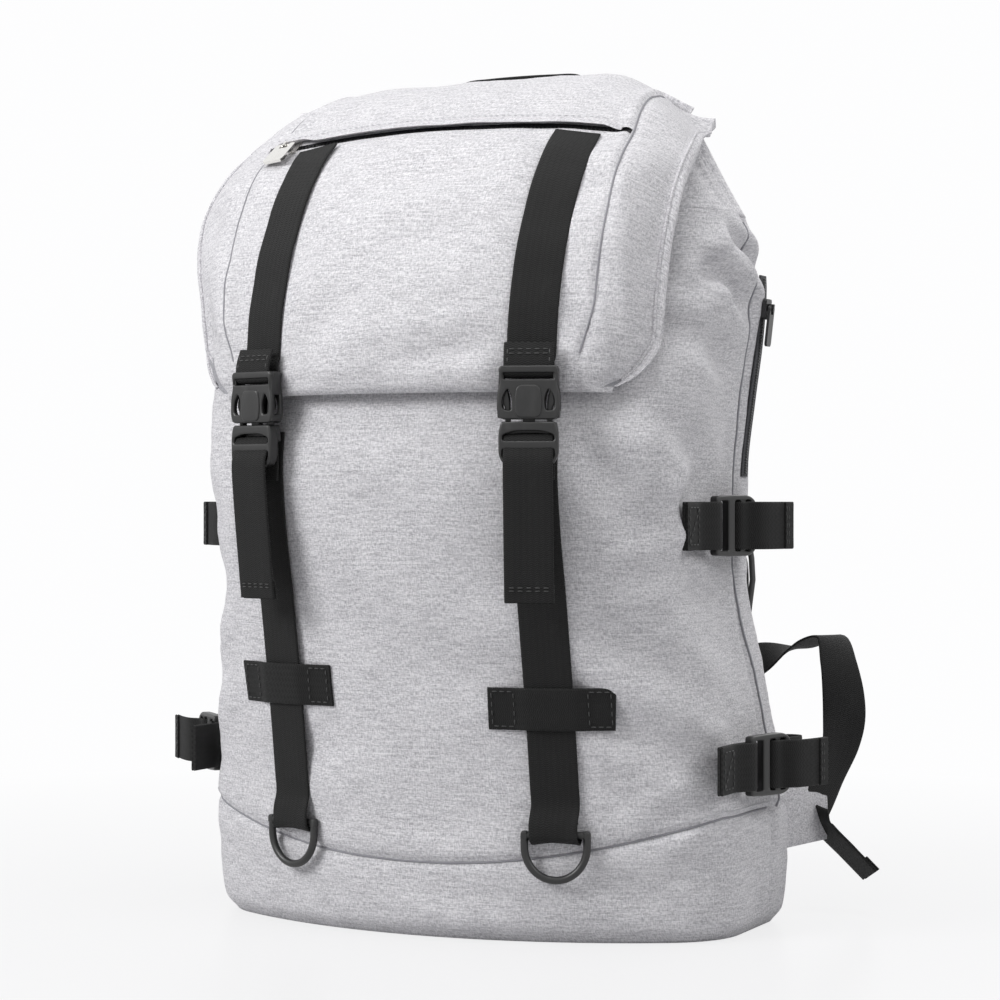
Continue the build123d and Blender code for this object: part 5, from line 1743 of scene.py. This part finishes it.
    def ring(self, side: Side) -> None:
        """Moulded D-ring hanging in the strap's end loop."""
        s = side.value
        out = (s * math.sin(FORM.lean), -math.cos(FORM.lean), 0)
        place = frame_matrix((s * FORM.strap_x * MM, -67.92 * MM, self.ring_z * MM), FORM.across(side), out)
        line = [(-16, 0, 0), (-16, -6, 0)]
        line += [
            (-16 * math.cos(a), -6 - 17 * math.sin(a), 0) for a in (math.pi * i / 28 for i in range(1, 28))
        ]
        line += [(16, -6, 0), (16, 0, 0)]
        hoop = bar("hoop", line, 2.0, place)
        pin = bar("pin", [(-16.4, 0, 0), (-6, 0, 0), (6, 0, 0), (16.4, 0, 0)], 1.9, place)
        knuckles = []
        for k in (-1, 1):
            square = rounded(
                [(k * 14.2, -2.3, 1.2), (k * 14.2, 2.2, 1.2), (k * 17.9, 2.2, 1.8), (k * 17.9, -2.3, 1.2)]
            )
            knuckles.append(moulded("knuckle", [square], -2.0, 2.0, 0.9, place))
        ring = join(f"{side.hand}_ring_hoop", [hoop, pin, *knuckles])
        smooth_shading(ring, 45)
        dress(ring, f"{side.hand}_ring", "black_plastic", PLASTIC, stands_for=[f"{side.hand}_d_ring"])

    def build(self) -> None:
        """Makes both straps."""
        for side in Side:
            self.upper(side)
            self.buckle(side)
            self.tail(side)
            self.main(side)
            self.keeper(side)
            self.ring(side)


@dataclass
class SideStraps:
    """The four compression straps with their tension locks."""

    width: float = 25.0
    pivot_y: float = -6.0
    standoff: float = 6.5
    tilt: float = 18.0
    left_tilt: float = 46.0

    def place(self, side: Side, level: Level) -> Matrix:
        """Frame at a lock's pivot: X along it to the rear, Z out of the pack."""
        s = side.value
        angle = math.radians(self.tilt if side is Side.RIGHT else self.left_tilt)
        along = (s * math.sin(angle), math.cos(angle), 0)
        out = (s * math.cos(angle), -math.sin(angle), 0)
        x = FORM.side_x(level.value, 16) + self.standoff
        return frame_matrix((s * x * MM, self.pivot_y * MM, level.value * MM), along, out)

    def lock(self, side: Side, level: Level) -> None:
        """Tension lock with two slots and a curved thumb tab."""
        place = self.place(side, level)
        outline = rounded([
            (-2.0, -15.4, 2),
            (10, -16, 5),
            (26, -16, 4),
            (31.8, -13, 6),
            (32.2, 0, 8),
            (31.8, 13, 6),
            (26, 16, 4),
            (10, 16, 5),
            (-2.0, 15.4, 2)
        ])
        holes = [
            rounded([(1.8, -13, 1), (8.2, -13, 1), (8.2, 13, 1), (1.8, 13, 1)]),
            rounded([(13.8, -13, 1), (18.1, -13, 1), (18.1, 13, 1), (13.8, 13, 1)]),
            rounded([(22.3, -13, 1), (26.5, -13, 1), (26.5, 13, 1), (22.3, 13, 1)]),
        ]
        tab = rounded([(27.2, -12.6, 3), (33.4, -11, 5), (34.2, 0, 8), (33.4, 11, 5), (27.2, 12.6, 3)])
        pieces = [
            moulded("frame", [outline, *holes], -2.5, 2.5, 0.9, place),
            moulded("tab", [tab], 0.6, 5.6, 1.4, place)
        ]
        name = f"{side.hand}_{level.name.lower()}"
        whole = join(f"{name}_lock", pieces)
        smooth_shading(whole, 35)
        dress(whole, f"{name}_side_lock", "black_plastic", PLASTIC, stands_for=[f"{name}_side_buckle"])

    def webbing(self, side: Side, level: Level) -> bpy.types.Object:
        """The anchor, the threaded tail and the slack strap of one lock."""
        s, z = side.value, level.value
        place = self.place(side, level)
        name = f"{side.hand}_{level.name.lower()}"
        up = (0, 0, 1)
        local = [
            (30, -3.4),
            (22, -3.6),
            (16.6, -3.3),
            (15.5, 0),
            (16.6, 3.3),
            (22, 3.9),
            (27.5, 8.2),
            (38, 9.6),
            (53.0, 8.8)
        ]
        path = [place @ (Vector((a, 0, out)) * MM) for a, out in local]
        tail = ribbon("tail", path, [up] * len(path), self.width * MM)
        hem = ribbon(
            "hem",
            [place @ (Vector((a, 0, out)) * MM) for a, out in ((46, 10.5), (50, 10.3), (53.2, 10.1))],
            [up] * 3,
            self.width * MM,
            1.4 * MM
        )
        whole = join(f"{name}_tail_webbing", [tail, hem])
        smooth_shading(whole, 60)
        dress(whole, f"{name}_side_lock", "webbing", WEB, stands_for=[f"{name}_side_tail"])
        rows = [[place @ (Vector((a, dz, 11.0)) * MM) for dz in (-10.8, 10.8)] for a in (47.2, 48.8)]
        out_way = place.to_3x3() @ Vector((0, 0, 1))
        dress(
            stitches(f"{name}_tail_thread", rows, [out_way] * 2), f"{name}_side_lock", "webbing", BLACK_THREAD
        )

        wall = FORM.side_x(z, 12.5) + 1.6
        fold = place @ (Vector((50, 0, -6.0)) * MM)
        end = place @ (Vector((29, 0, -3.6)) * MM)
        path = [Vector((s * x, y, z)) * MM for x, y in ((wall, 32), (wall + 0.4, 39), (wall + 4.5, 46.5))]
        path += [
            Vector((s * (wall + 9.5) * MM, fold.y + 5.6 * MM, z * MM)),
            Vector((fold.x, fold.y + 3.4 * MM, z * MM)), Vector((fold.x, fold.y - 3 * MM, z * MM)), end,
        ]
        slack = ribbon(f"{name}_slack_webbing", path, [up] * len(path), self.width * MM)
        dress(slack, "", "webbing", WEB, stands_for=[f"{name}_side_strap"])
        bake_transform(slack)

        pivot = place.translation / MM
        loop = 2.9
        ring = [
            (pivot.x / s - loop, pivot.y - 3),
            (pivot.x / s - loop, pivot.y),
            (pivot.x / s, pivot.y + loop),
            (pivot.x / s + loop, pivot.y),
            (pivot.x / s + loop - 0.6, pivot.y - 3.4)
        ]
        line = [
            (wall, -40),
            (wall, -30),
            (wall + 0.2, -18),
            *ring,
            (wall + 1.8, -20),
            (wall + 1.6, -30),
            (wall + 1.5, -39.5)
        ]
        path = [Vector((s * x, y, z)) * MM for x, y in line]
        anchor = ribbon(f"{name}_anchor", path, [up] * len(path), self.width * MM)
        rows = []
        corners = [(-37.5, -9.5), (-24, -9.5), (-24, 9.5), (-37.5, 9.5), (-37.5, -9.5), (-24, 9.5)]
        rows.append([Vector((s * (wall + 2.5), y, z + dz)) * MM for y, dz in corners])
        dress(stitches(f"{name}_anchor_thread", rows, [(s, 0, 0)]), "root", "webbing", BLACK_THREAD)
        return anchor

    def build(self) -> None:
        """Makes all four."""
        anchors = []
        for side in Side:
            for level in Level:
                self.lock(side, level)
                anchors.append(self.webbing(side, level))
        whole = join("side_anchor_webbing", anchors)
        smooth_shading(whole, 60)
        dress(whole, "root", "webbing", WEB, stands_for=["side_anchors"])


@dataclass
class SideZip:
    """The zip behind the rear seam on the right."""

    y: float = 53.0
    low: float = 240.0
    high: float = 348.0

    def build(self) -> None:
        """Makes the tape and its coil and refinishes the slider and pull."""
        levels = [lerp(self.low, self.high, i / 18) for i in range(19)]
        path = [Vector((FORM.at(z)[0] + 0.9, self.y, z)) * MM for z in levels]
        tape = ribbon("side_zip_cloth", path, [(0, 1, 0)] * len(path), 10 * MM, 1.2 * MM)
        dress(tape, "root", "zip_cloth", ZIP_CLOTH, stands_for=["side_zip_tape"])
        rows = []
        for i in range(74):
            z = lerp(self.low + 2, self.high - 2, i / 73)
            x = FORM.at(z)[0] + 1.7
            rows.append([Vector((x, self.y + dy, z)) * MM for dy in (-1.3, 1.3)])
        dress(
            stitches("side_zip_coil", rows, [(1, 0, 0)] * 74, 2.4 * MM, 0.1 * MM, 0.5 * MM),
            "root",
            "zip_cloth",
            PLASTIC
        )
        repaint("side_zip_slider", DARK_METAL, 0.25 * MM)
        repaint("side_zip_pull", DARK_METAL, 0.2 * MM)


@dataclass
class Carry:
    """Shoulder straps, their lower webbing and tabs, the yoke and the grab handle."""

    splay: float = 12.0
    strap_x: float = 42.0
    top: float = 410.0
    line: list[tuple[float, float]] = field(
        default_factory=lambda: [(60.5, 420), (85.7, 400), (108, 354), (120, 274), (124, 194), (116, 140)]
    )

    def turned(self, side: Side, x: float, y: float, z: float) -> Vector:
        """A place on a strap made upright at X = 0, leaned outwards about its top."""
        angle = math.radians(self.splay) * side.value
        dz = z - self.top
        return Vector((
            side.value * self.strap_x + x * math.cos(angle) - dz * math.sin(angle),
            y,
            self.top + x * math.sin(angle) + dz * math.cos(angle)
        ))

    def shoulder(self, side: Side) -> None:
        """Padded strap: cloth outside, mesh against the shoulder, bound edges."""
        spine = smooth_path([(0, y, z) for y, z in self.line], 4.0)
        last = len(spine) - 1

        def point(u: float, v: float) -> Vector:
            place = spine[min(int(round(v * last)), last)]
            i = min(int(round(v * last)), last)
            way = (spine[min(i + 1, last)] - spine[max(i - 1, 0)]).normalized()
            out = Vector((0, -way.z, way.y))
            if out.y < 0:
                out = -out
            around = u * math.tau
            width = lerp(29, 25, ease(v)) * (1 - 0.35 * ease((v - 0.86) / 0.14))
            cx, cy = math.cos(around), math.sin(around)
            x = width * math.copysign(abs(cx) ** 0.45, cx)
            thick = 4.6 * math.copysign(abs(cy) ** 0.7, cy) * lerp(0.5, 1, ease(v * 6)) * lerp(
                1, 0.5, ease((v - 0.9) * 10)
            )
            spot = place + out * thick
            return self.turned(side, x, spot.y, spot.z) * MM

        pad = grid_object("pad", 44, last, point, closed=True)
        bm = bmesh.new()
        bm.from_mesh(pad.data)
        bmesh.ops.holes_fill(bm, edges=bm.edges)
        bm.to_mesh(pad.data)
        bm.free()
        inflate(pad, 4.5 * MM, 2.2 * MM)
        pad.name = f"{side.hand}_shoulder_pad"
        pad.data.materials.append(PAD_CLOTH)
        pad.data.materials.append(MESH)
        for face in pad.data.polygons:
            face.material_index = 1 if face.normal.y < -0.25 else 0
        dress(pad, f"{side.hand}_shoulder", "shoulder_pad", stands_for=[f"{side.hand}_shoulder_strap"])

        edges = []
        for k in (-1, 1):
            points = []
            for i in range(0, last + 1, 3):
                v = i / last
                width = lerp(29, 25, ease(v)) * (1 - 0.35 * ease((v - 0.86) / 0.14)) + 0.6
                points.append(tuple(self.turned(side, k * width, spine[i].y, spine[i].z)))
            edges.append(bar("binding", points, 1.7, Matrix.Identity(4)))
        binding = join(f"{side.hand}_shoulder_binding", edges)
        dress(binding, f"{side.hand}_shoulder", "webbing", BLACK_THREAD)
        self.ladder_lock(side)

    def ladder_lock(self, side: Side) -> None:
        """Ladder lock at the strap's lower end, on a short webbing."""
        low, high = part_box(f"{side.hand}_ladder_lock")
        middle = (Vector(low) + Vector(high)) / 2
        tilt = math.radians(self.splay)
        across = (math.cos(tilt), 0, side.value * math.sin(tilt))
        place = frame_matrix(middle, across, (0, -1, 0))
        outline = rounded(
            [(-16, -9, 3), (-16, 12, 2.4), (16, 12, 2.4), (16, -9, 3), (10, -12, 4), (-10, -12, 4)]
        )
        holes = [rounded([(-13, y, 1), (-13, y + 4.4, 1), (13, y + 4.4, 1), (13, y, 1)]) for y in (3.8, -4.2)]
        lock = moulded(f"{side.hand}_strap_lock", [outline, *holes], -2.4, 2.4, 1.0, place)
        dress(
            lock, f"{side.hand}_shoulder", "black_plastic", PLASTIC, stands_for=[f"{side.hand}_ladder_lock"]
        )

    def lower(self, side: Side) -> None:
        """Slack webbing from the lock to the wing tab, the tab and the loose tail."""
        s = side.value
        low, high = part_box(f"{side.hand}_lower_webbing")
        lock_low, lock_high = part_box(f"{side.hand}_ladder_lock")
        tab_low, tab_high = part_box(f"{side.hand}_wing_tab")
        lock = (Vector(lock_low) + Vector(lock_high)) / 2
        outer_x = max(abs(low[0]), abs(high[0]))
        top = high[2]
        tip_x = max(abs(tab_low[0]), abs(tab_high[0]))
        tip_y = tab_high[1]
        path = [
            (lock.x + s * 4 * MM, lock.y + 1 * MM, lock.z - 4 * MM), (
                lock.x + s * 18 * MM, lock.y + 5 * MM, lock.z + 4 * MM
            ),
            (
                s * lerp(abs(lock.x), outer_x, 0.62), lock.y + 8 * MM, top - 8 * MM
            ), (s * (outer_x - 8 * MM), lock.y + 4 * MM, top - 2 * MM),
            (s * (outer_x - 1 * MM), lock.y - 3 * MM, top - 16 * MM), (
                s * (outer_x + 3 * MM), tip_y + 8 * MM, lerp(top, tab_high[2], 0.55)
            ),
            (
                s * (tip_x + 5 * MM), tip_y + 5 * MM, lerp(top, tab_high[2], 0.8)
            ), (s * (tip_x - 1 * MM), tip_y - 1 * MM, tab_high[2] - 6 * MM),
            (s * (tip_x - 5 * MM), tip_y - 7 * MM, tab_high[2] - 18 * MM),
        ]
        level = Vector((s * 0.35, 0.94, 0.0))
        across = [
            (0.0, 0.25, 1.0), (s * 0.1, 0.6, 0.8), level, level, (s * 0.55, 0.8, 0.2), (s * 0.8, 0.5, 0.35),
            (s * 0.6, 0.7, 0.45), (s * 0.42, 0.8, 0.4), (s * 0.42, 0.8, 0.4),
        ]
        web = ribbon(f"{side.hand}_slack_webbing", path, across, 24 * MM)
        dress(web, "", "webbing", WEB, stands_for=[f"{side.hand}_lower_webbing"])
        f"{side.hand}_shoulder"
        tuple(path[-3])
        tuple(path[1])
        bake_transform(web)

        root_x, root_y = 149.0, 66.0
        half_root, half_tip = 20.0, 13.5

        def point(u: float, v: float) -> Vector:
            x = lerp(root_x + 1, tip_x / MM - 1.5, v)
            y = lerp(root_y + 3, tip_y / MM - 0.5, v)
            half = lerp(half_root, half_tip, v)
            z = 58 - 4 * v + lerp(-half, half, (1 - math.cos(u * math.tau)) / 2)
            puff = 1.7 * math.sin(u * math.tau) * (1 - 0.5 * v)
            return Vector(
                (s * (x + puff * 0.9), y - puff * 0.42 + 1.2 * soft(Vector((x, y, z)), 14, 3), z)
            ) * MM

        tab = grid_object(f"{side.hand}_wing_cloth", 40, 24, point, closed=True)
        dress(tab, "root", "heather_cloth", PAD_CLOTH, stands_for=[f"{side.hand}_wing_tab"])

        tail_low, tail_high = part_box(f"{side.hand}_webbing_tail")
        end_x = max(abs(tail_low[0]), abs(tail_high[0])) - 4 * MM
        path = [
            (s * (tip_x - 5 * MM), tip_y - 9 * MM, 60 * MM), (s * (tip_x - 3 * MM), tip_y - 4 * MM, 49 * MM),
            (s * lerp(tip_x, end_x, 0.45), tip_y + 2 * MM, 34 * MM), (s * end_x, tip_y + 5 * MM, 21.5 * MM),
        ]
        across = [
            (s * 0.5, -0.7, 0.5), (s * 0.5, -0.75, 0.42), (s * 0.55, -0.75, 0.35), (s * 0.6, -0.75, 0.3)
        ]
        tail = ribbon("tail", path, across, 23 * MM)
        hem_path = [Vector(p) + Vector((s * 1.2, 0.7, 0.4)) * MM for p in (
            Vector(path[2]).lerp(Vector(path[3]), 0.45), Vector(path[2]).lerp(Vector(path[3]), 0.75), path[3]
        )]
        hem = ribbon("hem", hem_path, [across[3]] * 3, 23 * MM, 1.3 * MM)
        whole = join(f"{side.hand}_loose_tail", [tail, hem])
        smooth_shading(whole, 60)
        dress(whole, "root", "webbing", WEB, stands_for=[f"{side.hand}_webbing_tail"])

    def handle(self) -> None:
        """Doubled webbing loop at the top of the back."""
        low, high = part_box("grab_handle")
        y = (low[1] + high[1]) / 2
        half = (high[0] - low[0]) / 2
        base, top = low[2], high[2] + 3.5 * MM
        path = [
            (-half, y, base), (
                -half + 1.5 * MM, y, lerp(base, top, 0.5)
            ), (-half + 9 * MM, y, top - 2 * MM), (-half + 24 * MM, y, top),
            (half - 24 * MM, y, top), (half - 9 * MM, y, top - 2 * MM), (
                half - 1.5 * MM, y, lerp(base, top, 0.5)
            ), (half, y, base),
        ]
        loop = ribbon("grab_loop", path, [(0, 1, 0)] * len(path), 20 * MM, 2.4 * MM)
        dress(loop, "handle", "webbing", WEB, stands_for=["grab_handle"])
        anchors = []
        for k in (-1, 1):
            path = [(k * 44 * MM, y + dy * MM, z * MM) for dy, z in ((0, 437.8), (-2, 433), (-5, 429))]
            anchors.append(ribbon("anchor", path, [(0, 1, 0.1)] * 3, 18 * MM, 7 * MM))
        whole = join("grab_loop_anchors", anchors)
        smooth_shading(whole, 50)
        dress(whole, "root", "webbing", WEB, stands_for=["handle_anchors"])

        def point(u: float, v: float) -> Vector:
            x, z = lerp(-84, 84, u), lerp(386, 438, v)
            y = lerp(58, 48, (z - 380) / 70) + 2.2 + 0.3 * soft(Vector((x, 0, z)), 20, 4)
            return Vector((x, y, z)) * MM

        yoke = grid_object("yoke_mesh", 84, 26, point)
        thicken(yoke, 1.8 * MM)
        dress(yoke, "root", "air_mesh", MESH, stands_for=["strap_yoke"])

    def build(self) -> None:
        """Makes both straps and the handle."""
        for side in Side:
            self.shoulder(side)
            self.lower(side)
        self.handle()


@dataclass
class Studio:
    """Pale floor, soft lights and the camera."""

    azimuth: float = 25.0
    distance: float = 1.467
    height: float = 0.2274
    lens: float = 97.3
    shift: float = 0.0234

    def floor(self) -> None:
        """A pale floor with a soft sheen that keeps the pack's shadow."""

        def point(u: float, v: float) -> Vector:
            x, y = lerp(-6, 6, u), lerp(-6, 6, v)
            return Vector((x, y, -0.0004))

        ground = grid_object("floor", 4, 4, point)
        material = bpy.data.materials.new("pale_floor")
        material.use_nodes = True
        nodes = NodeSet(material.node_tree)
        shader = material.node_tree.nodes["Principled BSDF"]
        shader.inputs["Base Color"].default_value = (0.5, 0.5, 0.51, 1)
        shader.inputs["Roughness"].default_value = 0.3
        shader.inputs["Specular IOR Level"].default_value = 0.4
        glow = nodes.add("ShaderNodeEmission")
        glow.inputs["Color"].default_value = (0.985, 0.985, 0.99, 1)
        path = nodes.add("ShaderNodeLightPath")
        seen = nodes.math("MAXIMUM", path.outputs["Is Camera Ray"], path.outputs["Is Glossy Ray"])
        seen = nodes.math("MAXIMUM", seen, path.outputs["Is Transmission Ray"])
        blend = nodes.add("ShaderNodeMixShader")
        place = nodes.add("ShaderNodeTexCoord").outputs["Object"]
        length = nodes.add("ShaderNodeVectorMath", operation="LENGTH")
        nodes.link(place, length.inputs[0])
        away = nodes.spread(length.outputs["Value"], 0.25, 0.85)
        nodes.link(
            nodes.math("MULTIPLY", seen, nodes.math("ADD", 0.8, nodes.math("MULTIPLY", away, 0.2))),
            blend.inputs[0]
        )
        nodes.link(shader.outputs[0], blend.inputs[1])
        nodes.link(glow.outputs[0], blend.inputs[2])
        nodes.link(blend.outputs[0], material.node_tree.nodes["Material Output"].inputs[0])
        ground.data.materials.append(material)

    def lights(self) -> None:
        """Key from the upper left, weaker fill from the right, and a plain pale world."""
        for name, place, size, power in (
            ("key", (-1.2, -1.6, 1.35), 0.9, 37.0), ("top", (0.2, -0.4, 2.1), 1.0, 15.0),
            ("fill", (2.0, -0.3, 1.5), 1.2, 15.0), ("back", (0.6, 1.9, 1.4), 1.4, 14.0),
        ):
            light = bpy.data.lights.new(name, "AREA")
            light.shape = "SQUARE"
            light.size = size
            light.energy = power
            lamp = bpy.data.objects.new(name, light)
            lamp.location = place
            aim = Vector((0, 0, 0.22)) - Vector(place)
            lamp.rotation_euler = aim.to_track_quat("-Z", "Y").to_euler()
            bpy.context.scene.collection.objects.link(lamp)
        world = bpy.data.worlds.new("studio")
        bpy.context.scene.world = world
        world.use_nodes = True
        nodes = NodeSet(world.node_tree)
        background = world.node_tree.nodes["Background"]
        path = nodes.add("ShaderNodeLightPath")
        seen = nodes.math("MAXIMUM", path.outputs["Is Camera Ray"], path.outputs["Is Glossy Ray"])
        seen = nodes.math("MAXIMUM", seen, path.outputs["Is Transmission Ray"])
        background.inputs["Color"].default_value = (0.985, 0.985, 0.99, 1)
        strength = nodes.math("ADD", nodes.math("MULTIPLY", seen, 0.72), 0.28)
        nodes.link(strength, background.inputs["Strength"])

    def camera(self) -> None:
        """Long lens, level, from the viewer's right."""
        turn = math.radians(self.azimuth)
        data = bpy.data.cameras.new("camera")
        data.lens = self.lens
        data.sensor_width = 36.0
        data.shift_x = self.shift
        data.clip_end = 50
        holder = bpy.data.objects.new("camera", data)
        holder.location = (math.sin(turn) * self.distance, -math.cos(turn) * self.distance, self.height)
        holder.rotation_euler = (math.radians(90), 0, turn)
        bpy.context.scene.collection.objects.link(holder)
        bpy.context.scene.camera = holder

    def build(self) -> None:
        """Sets the whole stage."""
        self.floor()
        self.lights()
        self.camera()
        bpy.context.scene.view_settings.view_transform = "Standard"


def main() -> None:
    """Builds the pack piece by piece, then its stage."""
    logging.basicConfig(level=logging.INFO, format="%(name)s: %(message)s")
    for part in (Body(), Lid(), FrontStraps(), SideStraps(), SideZip(), Carry(), Studio()):
        log.info("building %s", type(part).__name__)
        part.build()


if __name__ == "__main__":
    main()
